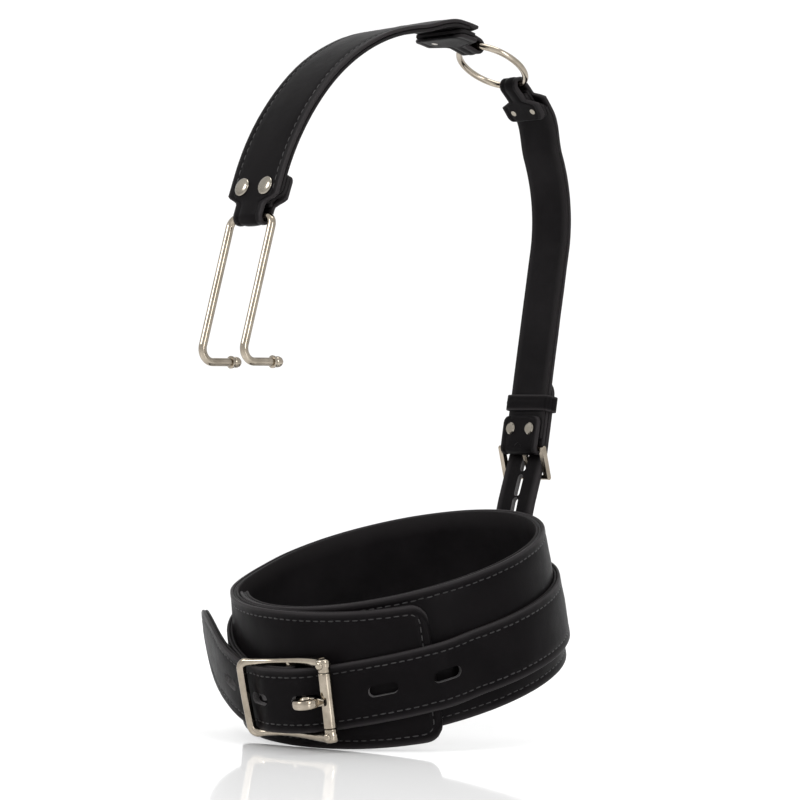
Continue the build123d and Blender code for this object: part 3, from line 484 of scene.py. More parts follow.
def bar(name, points, wide, deep, up, material, power=2.0, closed=False, count=28):
    """Solid bar along 3-D points in mm; wide and deep are half sizes, one value per point."""
    points = np.array(points, float)
    way = np.gradient(points, axis=0)
    if closed:
        way = np.roll(points, -1, axis=0) - np.roll(points, 1, axis=0)
    way /= np.linalg.norm(way, axis=1)[:, None]
    wide, deep = (np.broadcast_to(x, len(points)) for x in (wide, deep))
    verts = []
    for p, t, a, b in zip(points, way, wide, deep):
        side = np.cross(t, up)
        side /= np.linalg.norm(side)
        lift = np.cross(side, t)
        for k in range(count):
            c, s = cos(2 * pi * k / count), sin(2 * pi * k / count)
            x, y = (abs(c) ** (2 / power)) * np.sign(c), (abs(s) ** (2 / power)) * np.sign(s)
            verts.append((p + side * a * x + lift * b * y) * MM)
    faces = rings_to_faces(len(points), count, closed)
    if not closed:
        faces.append(tuple(range(count)))
        faces.append(tuple((len(points) - 1) * count + k for k in range(count)))
    return mesh_object(name, verts, faces, None, [material])


def place(piece, body, slot, *nodes):
    """Put a finished piece on its CAD body."""
    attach(piece, body)
    if nodes:
        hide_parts(*nodes)
    return piece


# ---------------------------------------------------------------- materials
class Nodes:
    """Short way to write a material's node tree."""

    def __init__(self, name):
        self.material = bpy.data.materials.new(name)
        self.material.use_nodes = True
        self.tree = self.material.node_tree
        self.shader = self.tree.nodes["Principled BSDF"]
        self.where = self.add("ShaderNodeTexCoord").outputs["Object"]

    def add(self, kind, **settings):
        node = self.tree.nodes.new(kind)
        for key, value in settings.items():
            setattr(node, key, value)
        return node

    def link(self, a, b):
        self.tree.links.new(a, b)

    def noise(self, scale, detail=3.0, rough=0.5):
        node = self.add("ShaderNodeTexNoise")
        node.inputs["Scale"].default_value = scale
        node.inputs["Detail"].default_value = detail
        node.inputs["Roughness"].default_value = rough
        self.link(self.where, node.inputs["Vector"])
        return node.outputs["Fac"]

    def cells(self, scale):
        node = self.add("ShaderNodeTexVoronoi", feature="DISTANCE_TO_EDGE")
        node.inputs["Scale"].default_value = scale
        self.link(self.where, node.inputs["Vector"])
        return node.outputs["Distance"]

    def ramp(self, value, stops):
        node = self.add("ShaderNodeValToRGB")
        elements = node.color_ramp.elements
        while len(elements) < len(stops):
            elements.new(0.5)
        for element, (position, colour) in zip(elements, stops):
            element.position = position
            element.color = (*colour, 1) if len(colour) == 3 else colour
        self.link(value, node.inputs["Fac"])
        return node.outputs["Color"]

    def span(self, value, low, high, start=0.0, end=1.0):
        node = self.add("ShaderNodeMapRange")
        for key, number in (("From Min", start), ("From Max", end), ("To Min", low), ("To Max", high)):
            node.inputs[key].default_value = number
        self.link(value, node.inputs["Value"])
        return node.outputs["Result"]

    def mix(self, factor, a, b):
        node = self.add("ShaderNodeMix", data_type="RGBA")
        self.link(factor, node.inputs["Factor"])
        for value, key in ((a, 6), (b, 7)):
            if isinstance(value, tuple):
                node.inputs[key].default_value = (*value, 1)
            else:
                self.link(value, node.inputs[key])
        return node.outputs[2]

    def bump(self, height, distance, strength, before=None):
        node = self.add("ShaderNodeBump")
        node.inputs["Distance"].default_value = distance
        node.inputs["Strength"].default_value = strength
        self.link(height, node.inputs["Height"])
        if before is not None:
            self.link(before, node.inputs["Normal"])
        return node.outputs["Normal"]

    # reads the painted sheen weight that lightens the leather's rounded edges
    def painted_edge_sheen(self):
        return self.add("ShaderNodeAttribute", attribute_name="painted_edge_sheen").outputs["Fac"]


def leather(name, dark, light, edge, gloss, grain):
    """Smooth black leather: fine pebble, slow colour drift, soft creases, polished painted edges, and a
    lighter edge colour that is painted sheen.
    """
    n = Nodes(name)
    drift = n.ramp(n.noise(38, 4, 0.55), [(0.32, dark), (0.72, light)])
    # the edge colour comes in by the painted sheen weight: a painted highlight along the rounded edges
    n.link(n.mix(n.painted_edge_sheen(), drift, edge), n.shader.inputs["Base Color"])
    n.link(n.span(n.noise(210, 5, 0.6), gloss - 0.07, gloss + 0.09), n.shader.inputs["Roughness"])
    n.shader.inputs["Specular IOR Level"].default_value = 0.035
    pores = n.bump(n.cells(1500), 0.00010, grain)
    pebble = n.bump(n.noise(900, 4, 0.6), 0.00012, grain, pores)
    creases = n.bump(n.noise(95, 5, 0.55), 0.0007, 0.16, pebble)
    n.link(creases, n.shader.inputs["Normal"])
    return n.material


def suede(name, dark, light):
    """Raw cut leather or foam: fibrous and matte."""
    n = Nodes(name)
    n.link(n.ramp(n.noise(1400, 5, 0.7), [(0.3, dark), (0.7, light)]), n.shader.inputs["Base Color"])
    n.shader.inputs["Roughness"].default_value = 0.9
    n.link(n.bump(n.noise(2600, 4, 0.7), 0.00025, 0.6), n.shader.inputs["Normal"])
    return n.material


def thread(name, dark, light):
    """Waxed thread: twisted strands as fine slanted ribs."""
    n = Nodes(name)
    n.link(n.ramp(n.noise(900, 3, 0.6), [(0.35, dark), (0.7, light)]), n.shader.inputs["Base Color"])
    n.shader.inputs["Roughness"].default_value = 0.48
    ribs = n.add("ShaderNodeTexWave", bands_direction="DIAGONAL")
    ribs.inputs["Scale"].default_value = 900
    ribs.inputs["Distortion"].default_value = 1.5
    n.link(n.where, ribs.inputs["Vector"])
    n.link(n.bump(ribs.outputs["Fac"], 0.00015, 0.7), n.shader.inputs["Normal"])
    return n.material


def nickel(name, colour, shade, rough):
    """Polished nickel: faint brushing, fine pits and a slightly uneven polish."""
    n = Nodes(name)
    n.shader.inputs["Metallic"].default_value = 1.0
    n.link(n.ramp(n.noise(120, 4, 0.6), [(0.3, shade), (0.65, colour)]), n.shader.inputs["Base Color"])
    n.link(n.span(n.noise(420, 5, 0.65), rough - 0.04, rough + 0.08), n.shader.inputs["Roughness"])
    cast = n.bump(n.noise(75, 3, 0.5), 0.0008, 0.05)
    n.link(n.bump(n.noise(1700, 3, 0.6), 0.00004, 0.12, cast), n.shader.inputs["Normal"])
    return n.material


# the third colour of each leather is its painted edge sheen, lighter than the leather itself
BLACK = leather("black_leather", (0.0025, 0.0021, 0.0024), (0.0046, 0.0039, 0.0043),
                (0.022, 0.0200, 0.0208), 0.40, 0.30)
INSIDE = leather("lining_leather", (0.0036, 0.0032, 0.0035), (0.0075, 0.0067, 0.0072),
                 (0.014, 0.0128, 0.0132), 0.50, 0.40)
RAW = suede("raw_leather_edge", (0.035, 0.033, 0.034), (0.13, 0.125, 0.125))
FOAM = suede("foam", (0.006, 0.006, 0.006), (0.016, 0.015, 0.016))
THREAD = thread("stitch_thread", (0.004, 0.0035, 0.004), (0.015, 0.0135, 0.0138))
NICKEL = nickel("polished_nickel", (0.37, 0.325, 0.265), (0.25, 0.215, 0.17), 0.10)
RIVET = nickel("rivet_nickel", (0.31, 0.285, 0.24), (0.21, 0.19, 0.16), 0.17)

# ---------------------------------------------------------------- collar
FLAP_TIP = 360 + FLAP_END


def collar_layer(name, depth, thick, inset, material, **look):
    path = wrap_path(FLAP_START, FLAP_TIP, lambda a: wall_radius(a) - depth - thick / 2, wall_height)
    half = rounded(COLLAR_HEIGHT - 2 * inset, CORNER, end=path.length - inset)
    piece = ribbon(name, path, inset, path.length - inset, half, thick, material, **look)
    return piece, path


outer, outer_path = collar_layer(
    "collar_outer_leather", 0, OUTER_LEATHER + 0.1, 0, BLACK,
    bulge=0.3, corner=0.8, creases=0.22, groove=0.32, seed=2.0, end_seam=True)
place(outer, "collar", "black_leather", "collar_outer")
padding, _ = collar_layer("collar_foam", OUTER_LEATHER + 0.1, PADDING + 0.1, 0.5, FOAM,
                          bulge=0, groove=0, creases=0.0)
place(padding, "collar", "padding_foam", "collar_padding")
lining, _ = collar_layer("collar_lining_leather", WALL - LINING - 0.1, LINING, 0.15, INSIDE,
                         bulge=0, creases=0.1, groove=0, corner=0.65, seed=5.0)
place(lining, "collar", "lining_leather", "collar_lining")

top, tail = COLLAR_HEIGHT / 2 - SEAM, outer_path.length - SEAM
turn = CORNER - SEAM + 1
seam = [(u, -top) for u in np.linspace(2, tail - turn, 260)]
seam += [(tail - turn + turn * sin(a), -top + turn - turn * cos(a)) for a in np.linspace(0.2, pi / 2, 5)]
seam += [(tail, v) for v in np.linspace(-top + turn + 1, top - turn - 1, 20)]
seam += [(tail - turn + turn * cos(a), top - turn + turn * sin(a)) for a in np.linspace(0, pi / 2, 5)]
seam += [(u, top) for u in np.linspace(tail - turn - 1, 2, 260)]
place(stitches("collar_stitching", outer_path, seam, 0.62, THREAD), "collar", "stitch_thread")

# ---------------------------------------------------------------- belt
BUCKLE_TURN = 360 + BUCKLE_ANGLE
BAR_ORIGIN, BAR_OUT, BAR_RISE, BAR_ALONG = ring_frame(
    BUCKLE_TURN, wall_radius(BUCKLE_TURN) + BAR_LIFT, belt_height(BUCKLE_TURN))


def at_buckle(x, y, z=0.0):
    """Point in mm at the belt buckle: x along the belt, y outward, z down the wall."""
    return BAR_ORIGIN + BAR_ALONG * x + BAR_OUT * y - BAR_RISE * z


def belt_half(angle):
    t = min(1, max(0, (angle - BELT_TIP) / TIP_LENGTH))
    return BELT_WIDTH / 2 * (0.2 + 0.8 * sqrt(1 - (1 - t) ** 2))


def outer_radius(angle):
    normal = belt_radius(angle) + BELT_BACKING + 0.1
    blend = smooth(angle, 352, BUCKLE_TURN - 3)
    at_bar = wall_radius(angle) + BAR_LIFT + FOLD_INNER
    return normal * (1 - blend) + at_bar * blend + BELT_LEATHER / 2


main = wrap_path(BELT_TIP, BUCKLE_TURN, outer_radius, belt_height)
fold_radius = FOLD_INNER + BELT_LEATHER / 2
fold_turns = np.linspace(90, -90, 30)[1:]
fold_points = [at_buckle(*polar((0, 0), fold_radius, a)) for a in fold_turns]
fold_normals = [BAR_ALONG * cos(radians(a)) + BAR_OUT * sin(radians(a)) for a in fold_turns]
tail_angles = np.linspace(BUCKLE_TURN - 0.5, 350, 20)
tail_rows = [ring_frame(a, wall_radius(a) + BAR_LIFT - fold_radius, belt_height(a)) for a in tail_angles]
belt_path = Path(
    [*main.points, *fold_points, *(r[0] for r in tail_rows)],
    [*main.normals, *fold_normals, *(-r[1] for r in tail_rows)],
    [*main.across, *(BAR_RISE for _ in fold_turns), *(r[2] for r in tail_rows)],
    [*main.labels, *np.linspace(BUCKLE_TURN + 0.1, BUCKLE_TURN + 8, len(fold_turns) + len(tail_rows))],
)


def angle_of(u):
    return float(np.interp(u, belt_path.run, belt_path.labels))


def belt_half_at(u):
    nose = max(0, 1.6 - u)
    return belt_half(angle_of(u)) - 0.9 * nose


belt = ribbon("belt_leather", belt_path, 0, belt_path.length, belt_half_at, BELT_LEATHER + 0.1, BLACK,
              bulge=0.2, creases=0.2, groove=0.3, seed=9.0, corner=0.8)
slot_runs = [belt_path.at(a) for a in SLOT_ANGLES]
punch(belt, belt_path, [(u, 0, SLOT_LENGTH, SLOT_WIDTH) for u in slot_runs]
      + [(belt_path.at(BUCKLE_TURN) + 2.5, 0, 16, TONGUE_NOTCH)], RAW)
place(belt, "collar", "black_leather", "belt_strap")
back_path = wrap_path(BELT_TIP, 357, lambda a: belt_radius(a) + BELT_BACKING / 2, belt_height)
backing = ribbon("belt_backing_leather", back_path, 0.3, back_path.length,
                 lambda u: belt_half(float(np.interp(u, back_path.run, back_path.labels))) - 0.15,
                 BELT_BACKING, INSIDE, groove=0, bulge=0, creases=0.12, seed=9.0, corner=0.6)
punch(backing, back_path, [(back_path.at(a), 0, SLOT_LENGTH, SLOT_WIDTH) for a in SLOT_ANGLES], RAW)
place(backing, "collar", "lining_leather", "belt_backing")
seams = []
for number, route in enumerate(edge_routes(7, belt_path.at(364), belt_half_at, SEAM)):
    seams.append(stitches(f"belt_seam_{number}", belt_path, route, 0.64, THREAD))
place(join("belt_stitching", seams), "collar", "stitch_thread")

# ---------------------------------------------------------------- belt buckle
ARM = ARM_INSIDE + ARM_WIDTH / 2


def arm_lift(x):
    """Height of an arm's middle: it dips between the heel bar and the roller."""
    ends = HEEL_LIFT + (ROLLER_LIFT - HEEL_LIFT) * (x - HEEL_X) / (ROLLER_X - HEEL_X)
    t = (x - HEEL_X) / (ROLLER_X - HEEL_X)
    return ends - 4.0 * 4 * t * (1 - t)


def frame_loop():
    """Middle line of the frame from one roller lug round the heel bar to the other."""
    bend = 3.2
    half = [(x, ARM) for x in np.linspace(ROLLER_X - 1.0, HEEL_X + bend, 26)]
    for a in np.linspace(0.15, pi / 2, 9):
        half.append((HEEL_X + bend - bend * sin(a), ARM - bend + bend * cos(a)))
    half += [(HEEL_X - 0.25 * (1 - (z / (ARM - bend)) ** 2), z) for z in np.linspace(ARM - bend - 1, 0, 8)]
    full = half + [(x, -z) for x, z in reversed(half[:-1])]
    wide, deep = [], []
    for x, z in full:
        near_roller = smooth(x, -12, ROLLER_X - 5)
        heel = smooth(-x, 18, 24)
        wide.append(1.5 + 0.75 * near_roller + 0.6 * heel)
        deep.append(1.85 + 1.2 * near_roller + 0.15 * heel)
    points = []
    for (x, z), half_wide in zip(full, wide):
        spread = (half_wide - 1.5) * (1 - smooth(-x, 10, 18)) * (1 if z > 0 else -1)
        slant = 0.09 * z * smooth(-x, 0, 22)
        points.append(at_buckle(x + slant, arm_lift(x) if x > HEEL_X else HEEL_LIFT, z + spread))
    return points, wide, deep


loop, wide, deep = frame_loop()
hoop = bar("hoop", loop, wide, deep, BAR_OUT, NICKEL, power=2.5)
centre_bar = bar("centre", [at_buckle(0, 0, z) for z in np.linspace(-ARM, ARM, 20)], BAR_RADIUS, BAR_RADIUS,
                 BAR_OUT, NICKEL)
DOWN = -BAR_RISE
lugs = []
for side in (-1, 1):
    foot = at_buckle(ROLLER_X, ROLLER_LIFT, side * LUG_START) * MM
    knob = [(0, 0), (2.5, 0), (2.9, 0.25), (3.0, 0.7), (3.0, 2.0), (3.3, 2.6), (3.4, 3.2), (3.4, 5.1),
            (3.2, 5.8), (2.7, 6.25), (1.8, 6.45), (0, 6.5)]
    lugs.append(lathe(f"lug_{side}", knob, foot, DOWN * side, NICKEL))
place(join("belt_buckle_frame", [hoop, centre_bar, *lugs]), "collar", "nickel_wire", "buckle_frame")
heads = []
for side in (-1, 1):
    foot = at_buckle(ROLLER_X, ROLLER_LIFT + 3.0, side * (ARM_INSIDE + 1.2)) * MM
    dome = [(0, 0), (1.9, 0), (1.95, 0.5), (1.7, 0.95), (1.1, 1.25), (0.5, 1.35), (0, 1.36)]
    heads.append(lathe(f"head_{side}", dome, foot, BAR_OUT, NICKEL))
shaft = lathe("shaft", [(0, 0), (1.35, 0), (1.35, 2 * ARM_INSIDE), (0, 2 * ARM_INSIDE)],
              at_buckle(ROLLER_X, ROLLER_LIFT, -ARM_INSIDE) * MM, DOWN, NICKEL)
place(join("roller_pin", [*heads, shaft]), "collar", "nickel_wire", "buckle_pin")
half_roll = LUG_START - 0.15
roll = [(1.4, -half_roll), (2.7, -half_roll), (3.0, 0.25 - half_roll), (ROLLER_RADIUS, 0.6 - half_roll)]
roll += [(ROLLER_RADIUS, z) for z in np.linspace(1 - half_roll, half_roll - 1, 9)]
roll += [(r, -z) for r, z in reversed(roll[:4])]
roller = lathe("belt_roller", roll, at_buckle(ROLLER_X, ROLLER_LIFT) * MM, DOWN, NICKEL)
place(roller, "roller", "nickel_wire", "buckle_roller")

rest = ROLLER_LIFT + ROLLER_RADIUS + 1.15
spine = [(2.2, 1.6), (5.5, 1.75), (9.0, 3.0), (13.0, 4.9), (17.0, 6.4), (20.5, rest), (23.0, rest + 0.02),
         (24.6, rest)]
points = np.array(spine)
t = np.linspace(0, len(spine) - 1, 40)
spine = np.column_stack([np.interp(t, range(len(spine)), points[:, k]) for k in (0, 1)])
taper = np.array([TONGUE_WIDTH / 2 * (1 - 0.28 * smooth(x, 18, 24.8)) for x, _ in spine])
stem = bar("stem", [at_buckle(x, y) for x, y in spine], taper, 1.0, BAR_OUT, NICKEL, power=3.0)
hub = lathe("hub", [(2.05, -2.2), (3.5, -2.2), (3.8, -1.9), (3.85, -1.2), (3.85, 1.2), (3.8, 1.9), (3.5, 2.2),
                    (2.05, 2.2)], at_buckle(0, 0) * MM, DOWN, NICKEL)
eye_ring = [at_buckle(*polar((EYE_X, EYE_LIFT), EYE_RADIUS + EYE_WALL / 2, a))
            for a in np.linspace(0, 352.5, 48)]
eye = bar("eye", eye_ring, EYE_WALL / 2, TONGUE_WIDTH / 2 - 0.1, BAR_RISE, NICKEL, power=2.8, closed=True)
place(join("locking_tongue_metal", [stem, hub, eye]), "tongue", "nickel_wire", "locking_tongue")

# ---------------------------------------------------------------- head strap
FOREHEAD_CENTRE = polar(CROWN_CENTRE, FOREHEAD_RADIUS - CROWN_RADIUS, FOREHEAD_FROM + 180)
BACK_CENTRE = polar(CROWN_CENTRE, CROWN_RADIUS - BACK_RADIUS, BACK_FROM)
FRONT_DOWN, REAR_DOWN = FOREHEAD_TO + 90, BACK_TO - 90
FRONT_END = polar(FOREHEAD_CENTRE, FOREHEAD_RADIUS, FOREHEAD_TO)
REAR_END = polar(BACK_CENTRE, BACK_RADIUS, BACK_TO)
CROSSBAR = polar(polar(FRONT_END, HOOK_DROP, FRONT_DOWN), OUTER_LIFT - FOLD_RADIUS, FOREHEAD_TO)


def joint_point(name):
    return np.array(JOINTS[name]["pos_m"][1:]) / MM


class RingEnd:
    """Where a strap folds round the crown ring; turn is +1 for the front strap, -1 for the rear."""

    def __init__(self, centre, radius, wire, turn):
        arm = wire - np.array(centre)
        self.centre, self.radius, self.wire, self.turn = centre, radius, wire, turn
        self.angle = np.degrees(np.arctan2(arm[1], arm[0]))
        self.lift = np.linalg.norm(arm) - radius
        self.tail = self.angle + turn * RING_TAIL
        self.eased = self.tail + turn * RING_EASE

    def point(self, angle, lift):
        return polar(self.centre, self.radius + lift, angle)

    def way(self, angle):
        return np.array((-sin(radians(angle)), cos(radians(angle)))) * self.turn

    def down(self, high, low):
        return ease(self.point(self.tail, high), self.way(self.tail), self.point(self.eased, low),
                    self.way(self.eased))

    def fold(self):
        low, high = self.lift - RING_FOLD, self.lift + RING_FOLD
        return (arc(self.centre, self.radius + low, self.tail, self.angle)
                + arc(self.wire, RING_FOLD, self.angle + 180, self.angle + 180 + 180 * self.turn)
                + arc(self.centre, self.radius + high, self.angle, self.tail) + self.down(high, OUTER_LIFT))

    def lining(self):
        return (arc(self.centre, self.radius + STACK_LINING, self.angle + self.turn * 3, self.tail)
                + self.down(STACK_LINING, LINING_LIFT))

    def tail_lining(self):
        return arc(self.centre, self.radius + STACK_TAIL_LINING, self.angle + self.turn * 3.2, self.tail)

    def degrees(self, angle):
        """Run in mm along the crown for an angle in degrees."""
        return radians(angle) * (self.radius + 4)


FRONT_RING = RingEnd(CROWN_CENTRE, CROWN_RADIUS, joint_point("front_strap_lift"), 1)
REAR_RING = RingEnd(BACK_CENTRE, BACK_RADIUS, joint_point("crown_ring_swing"), -1)


def front_run(lift, straight):
    start = polar(FRONT_END, lift, FOREHEAD_TO)
    return (arc(CROWN_CENTRE, CROWN_RADIUS + lift, FRONT_RING.eased, FOREHEAD_FROM)
            + arc(FOREHEAD_CENTRE, FOREHEAD_RADIUS + lift, FOREHEAD_FROM, FOREHEAD_TO)
            + line(start, polar(start, straight, FRONT_DOWN)))


def rear_run(lift, straight):
    start = polar(REAR_END, lift, BACK_TO)
    return (arc(BACK_CENTRE, BACK_RADIUS + lift, REAR_RING.eased, BACK_TO)
            + line(start, polar(start, straight, REAR_DOWN)))


def folded_end(pivot, radius, outward, sweep, down, tail):
    start = polar(pivot, radius, outward + 180)
    return arc(pivot, radius, outward, outward + sweep) + line(start, polar(start, tail, down + 180))


ring_neck = FRONT_RING.degrees(RING_FAR)
fold_run = FRONT_RING.degrees(RING_TAIL) + pi * RING_FOLD / 2
front_path = plane_path(FRONT_RING.fold() + front_run(OUTER_LIFT, HOOK_DROP)
                        + folded_end(CROSSBAR, FOLD_RADIUS, FOREHEAD_TO, 180, FRONT_DOWN, TAIL_LENGTH))
bar_run = front_path.length - TAIL_LENGTH - pi * FOLD_RADIUS / 2
front_half = necked(rounded(STRAP_WIDTH, STRAP_CORNER, start=0, end=front_path.length), RING_NECK / 2,
                    fold_run - ring_neck - 3, fold_run + ring_neck + 3, 3.5)
front_half = necked(front_half, NECK_WIDTH / 2, bar_run - NECK_LENGTH - 2, bar_run + NECK_LENGTH + 2, 4.5)
front_strap = ribbon("head_strap_leather", front_path, 0, front_path.length, front_half, STRAP_LAYER, BLACK,
                     bulge=0.25, creases=0.16, groove=0.3, seed=13.0, corner=0.85, step=1.2)
place(front_strap, "front_strap", "black_leather", "front_strap_outer")
seam_start = fold_run + ring_neck + 9
seams = []
for number, route in enumerate(edge_routes(seam_start, bar_run - NECK_LENGTH - 6, front_half, SEAM)):
    seams.append(stitches(f"head_seam_{number}", front_path, route, 0.74, THREAD))
place(join("head_strap_stitching", seams), "front_strap", "stitch_thread")
under_path = plane_path(FRONT_RING.lining() + front_run(LINING_LIFT, HOOK_DROP - LINING_SHORT))
under_half = rounded(STRAP_WIDTH - LINING_TRIM, LINING_CORNER, start=0)
under_half = necked(under_half, RING_NECK / 2, -9, ring_neck - 2, 3)
under_half = necked(under_half, NECK_WIDTH / 2, under_path.length - 2, PAST_END, 4)
front_lining = ribbon("head_strap_lining", under_path, 0, under_path.length, under_half, STRAP_LINING,
                      INSIDE, groove=0, bulge=0, creases=0.08, seed=14.0, step=1.4)
place(front_lining, "front_strap", "lining_leather", "front_strap_lining")
foot = polar(polar(CROSSBAR, 5, FRONT_DOWN + 180), -1.0, FOREHEAD_TO)
hook_lining = plane_path(line(polar(foot, TAIL_LENGTH - 5, FRONT_DOWN + 180), foot))
end_half = rounded(STRAP_WIDTH - LINING_TRIM, LINING_CORNER, start=0)
end_half = necked(end_half, NECK_WIDTH / 2, hook_lining.length - 3, PAST_END, 3.5)
end_lining = ribbon("hook_end_lining", hook_lining, 0, hook_lining.length, end_half, HOOK_LINING, INSIDE,
                    groove=0, bulge=0, creases=0.05, seed=15.0)
place(end_lining, "front_strap", "lining_leather", "hook_tail_lining")
for ring, side, node, body, width in ((FRONT_RING, 1, "crown_tail_lining", "front_strap", STRAP_WIDTH),
                                      (REAR_RING, -1, "rear_tail_lining", "collar", REAR_WIDTH)):
    path = plane_path(ring.tail_lining(), side)
    tail_half = rounded(width - LINING_TRIM, LINING_CORNER, end=path.length)
    tail_half = necked(tail_half, RING_NECK / 2, -9, ring.degrees(RING_NEAR), 2.5)
    tail_lining = ribbon(node + "_leather", path, 0, path.length, tail_half, TAIL_LINING, INSIDE,
                         groove=0, bulge=0, creases=0.05, seed=16.0)
    place(tail_lining, body, "lining_leather", node)

# ---------------------------------------------------------------- rear strap, keeper and tether
def nape(run, lift):
    return polar(polar(REAR_END, run, REAR_DOWN), lift, BACK_TO)


heel = nape(REAR_STRAIGHT, NAPE_HEEL_LIFT)
rear_path = plane_path(REAR_RING.fold() + rear_run(OUTER_LIFT, REAR_STRAIGHT)
                       + folded_end(heel, NAPE_FOLD, BACK_TO, -180, REAR_DOWN, NAPE_TAIL), -1)
rear_neck = REAR_RING.degrees(RING_FAR)
rear_fold_run = REAR_RING.degrees(RING_TAIL) + pi * RING_FOLD / 2
rear_half = necked(rounded(REAR_WIDTH, STRAP_CORNER, start=0, end=rear_path.length), RING_NECK / 2,
                   rear_fold_run - rear_neck - 3, rear_fold_run + rear_neck + 3, 3)
rear_strap = ribbon("rear_strap_leather", rear_path, 0, rear_path.length, rear_half, STRAP_LAYER, BLACK,
                    bulge=0.2, creases=0.16, groove=0.25, stitch=REAR_SEAM, seed=21.0, corner=0.85, step=1.4)
heel_run = rear_path.length - NAPE_TAIL - pi * NAPE_FOLD / 2
punch(rear_strap, rear_path, [(heel_run, 0, *PRONG_SLOT)], RAW)
place(rear_strap, "collar", "black_leather", "rear_strap_outer")
seams = []
seam_start = rear_fold_run + rear_neck + 9
for number, route in enumerate(edge_routes(seam_start, heel_run - 6, rear_half, REAR_SEAM)):
    seams.append(stitches(f"rear_seam_{number}", rear_path, route, 0.74, THREAD))
place(join("rear_strap_stitching", seams), "collar", "stitch_thread")
rear_under = plane_path(REAR_RING.lining() + rear_run(LINING_LIFT, REAR_STRAIGHT - REAR_LINING_SHORT), -1)
under_half = rounded(REAR_WIDTH - LINING_TRIM, LINING_CORNER, start=0)
under_half = necked(under_half, RING_NECK / 2, -9, rear_neck - 2, 2.5)
rear_lining = ribbon("rear_strap_lining_leather", rear_under, 0, rear_under.length, under_half, STRAP_LINING,
                     INSIDE, groove=0, bulge=0, creases=0.08, seed=22.0)
place(rear_lining, "collar", "lining_leather", "rear_strap_lining")


def collar_back(height, lift):
    return ring_frame(180, COLLAR_RADIUS + lift, height)[0][1:]


route = [nape(TETHER_TIP, TETHER_LIFT), nape(REAR_STRAIGHT + 3, TETHER_LIFT),
         nape(REAR_STRAIGHT + NAPE_END_BAR, 3.4), nape(REAR_STRAIGHT + 27, 1.4),
         collar_back(TETHER_EXIT, TETHER_GAP + TETHER_THICKNESS / 2),
         collar_back(TETHER_LOW, TETHER_GAP + TETHER_THICKNESS / 2)]
tether_path = plane_path(fillet(route, TETHER_BEND), -1)
tether_half = rounded(REAR_WIDTH, 9, start=0)
tether = ribbon("tether_leather", tether_path, 0, tether_path.length, tether_half, TETHER_THICKNESS, BLACK,
                bulge=0.15, creases=0.15, groove=0.25, stitch=REAR_SEAM, seed=31.0, corner=0.95, step=1.6)
punch(tether, tether_path, [(run - TETHER_TIP, 0, *TETHER_HOLE) for run in TETHER_HOLES], RAW)
place(tether, "collar", "black_leather", "tether_strap")
seams = []
for number, seam_route in enumerate(edge_routes(4, tether_path.length - 4, tether_half, REAR_SEAM)):
    seams.append(stitches(f"tether_seam_{number}", tether_path, seam_route, 1.04, THREAD))
place(join("tether_stitching", seams), "collar", "stitch_thread")

middle = (KEEPER_LOW + KEEPER_HIGH) / 2
wide_half = REAR_WIDTH / 2 + 0.5 + KEEPER_LEATHER / 2
deep_half = (KEEPER_HIGH - KEEPER_LOW + KEEPER_LEATHER) / 2
loop_points, loop_normals = [], []
for a in np.linspace(0, 2 * pi, 97):
    c, s = cos(a), sin(a)
    x, y = wide_half * abs(c) ** 0.28 * np.sign(c), deep_half * abs(s) ** 0.28 * np.sign(s)
    foot = nape(KEEPER_RUN + KEEPER_WIDE / 2, middle + y)
    loop_points.append((x, *foot))
    out = y / deep_half
    loop_normals.append((x / wide_half, out * cos(radians(BACK_TO)), out * sin(radians(BACK_TO))))
loop_normals = np.array(loop_normals)
loop_normals /= np.linalg.norm(loop_normals, axis=1)[:, None]
down = np.array((0, cos(radians(REAR_DOWN)), sin(radians(REAR_DOWN))))
keeper_path = Path(loop_points, loop_normals, np.tile(down, (len(loop_points), 1)))
keeper = ribbon("keeper_leather", keeper_path, 0, keeper_path.length, lambda u: KEEPER_WIDE / 2,
                KEEPER_LEATHER, BLACK, groove=0, bulge=0.1, creases=0.05, seed=41.0, corner=0.6, step=1.0)
place(keeper, "collar", "black_leather", "strap_keeper")

# ---------------------------------------------------------------- rivets, hook and ring
FRONT_OUT = (0, cos(radians(FOREHEAD_TO)), sin(radians(FOREHEAD_TO)))
domed = [(0, -0.2), (4.2, -0.2), (4.5, 0.15), (4.5, 0.6), (4.25, 0.98), (3.6, 1.3), (2.6, 1.55), (1.3, 1.7),
         (0, 1.74)]
rolled = [(0, -0.2), (3.1, -0.2), (3.3, 0.3), (2.9, 0.75), (1.6, 0.9), (1.3, 0.6), (0, 0.55)]
seat_foot = polar(CROSSBAR, RIVET_RISE, FRONT_DOWN + 180)
caps, backs = [], []
for side in (-1, 1):
    across = side * RIVET_SPACING / 2
    seat = polar(seat_foot, FOLD_RADIUS + STRAP_LAYER / 2 + 0.05, FOREHEAD_TO)
    spot = Vector((across, *seat)) * MM
    caps.append(lathe(f"cap_{side}", domed, spot, FRONT_OUT, RIVET))
    seat = polar(seat_foot, -FOLD_RADIUS - STRAP_LAYER / 2, FOREHEAD_TO)
    spot = Vector((across, *seat)) * MM
    backs.append(lathe(f"back_{side}", rolled, spot, -Vector(FRONT_OUT), RIVET))
place(join("hook_caps", caps), "front_strap", "nickel_rivet", "hook_rivet_caps")
place(join("hook_backs", backs), "front_strap", "nickel_rivet", "hook_rivet_posts")

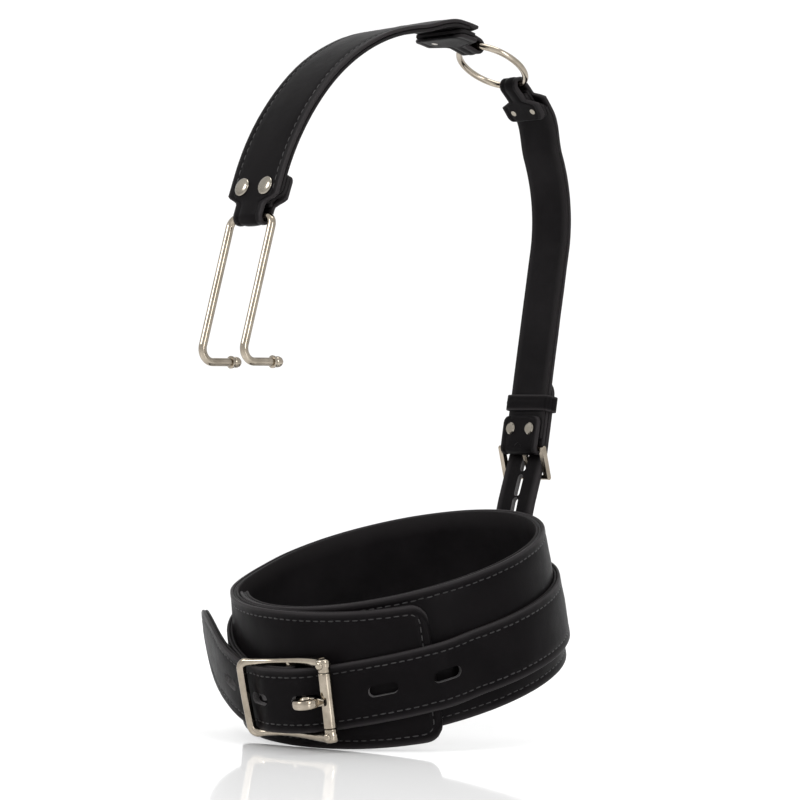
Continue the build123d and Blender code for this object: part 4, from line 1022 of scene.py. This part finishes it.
bead = [(0, 0), (2.0, 0), (2.7, 0.05), (2.98, 0.35), (3.0, 1.0), (2.8, 1.5), (2.4, 1.75), (2.3, 2.0),
        (2.5, 2.4), (2.62, 3.2), (2.55, 4.2), (2.25, 5.0), (1.7, 5.7), (0.9, 6.1), (0, 6.2)]
for node in ("hook_tip_left", "hook_tip_right"):
    low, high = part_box(node)
    spot = Vector(((low.x + high.x) / 2, low.y, (low.z + high.z) / 2))
    place(lathe(node + "_bead", bead, spot, (0, 1, 0), NICKEL), "hook", "nickel_wire", node)

for name, node in frame["nodes"].items():
    if not node.hide_render:
        node.data.materials.clear()
        node.data.materials.append(RIVET if "rivet" in name else NICKEL)

# ---------------------------------------------------------------- studio and camera
def panel(name, where, size, power, aim=(0, 0, 0.11), colour=(1, 1, 1)):
    data = bpy.data.lights.new(name, "AREA")
    data.shape = "RECTANGLE"
    data.size, data.size_y = size
    data.energy, data.color = power, colour
    lamp = bpy.data.objects.new(name, data)
    lamp.location = where
    lamp.rotation_euler = (Vector(aim) - Vector(where)).to_track_quat("-Z", "Y").to_euler()
    bpy.context.scene.collection.objects.link(lamp)


def cove(low):
    """Floor that curves up into a backdrop all round, as one turned surface."""
    bend = [(1.2 + 1.6 * sin(a), 1.6 - 1.6 * cos(a)) for a in np.linspace(0.1, 1.3, 14)]
    profile = [(0.0, 0.0), (1.2, 0.0)] + bend
    verts, count = [], 96
    for r, z in profile:
        verts += [(max(r, 1e-4) * cos(2 * pi * k / count), max(r, 1e-4) * sin(2 * pi * k / count), low + z)
                  for k in range(count)]
    floor = mesh_object("floor", verts, rings_to_faces(len(profile), count))
    n = Nodes("floor_white")
    n.shader.inputs["Base Color"].default_value = (0.96, 0.96, 0.96, 1)
    n.shader.inputs["Roughness"].default_value = 0.06
    n.shader.inputs["Specular IOR Level"].default_value = 0.5
    floor.data.materials.append(n.material)
    floor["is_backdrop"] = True


cove(CAD_BOX[0][2])
VIEW = radians(47)
camera_data = bpy.data.cameras.new("camera")
camera_data.lens, camera_data.sensor_width = 131.04, 36
camera_data.shift_x, camera_data.shift_y = -1 / 800, -4 / 800
camera_data.clip_end = 20
camera = bpy.data.objects.new("camera", camera_data)
camera.location = (1.4 * sin(VIEW), -1.4 * cos(VIEW), 0.108)
camera.rotation_euler = (pi / 2, 0, VIEW)
bpy.context.scene.collection.objects.link(camera)
bpy.context.scene.camera = camera

world = bpy.data.worlds.new("studio")
world.use_nodes = True
world.node_tree.nodes["Background"].inputs["Color"].default_value = (1, 1, 1, 1)
world.node_tree.nodes["Background"].inputs["Strength"].default_value = 1.02
bpy.context.scene.world = world
panel("key", (-0.35, -1.25, 0.95), (0.7, 0.5), 10)
panel("side", (1.35, -0.25, 0.55), (0.35, 0.9), 7)
panel("top", (0.1, 0.1, 1.3), (0.6, 0.6), 5)
bpy.context.scene.view_settings.view_transform = "Standard"

low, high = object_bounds()
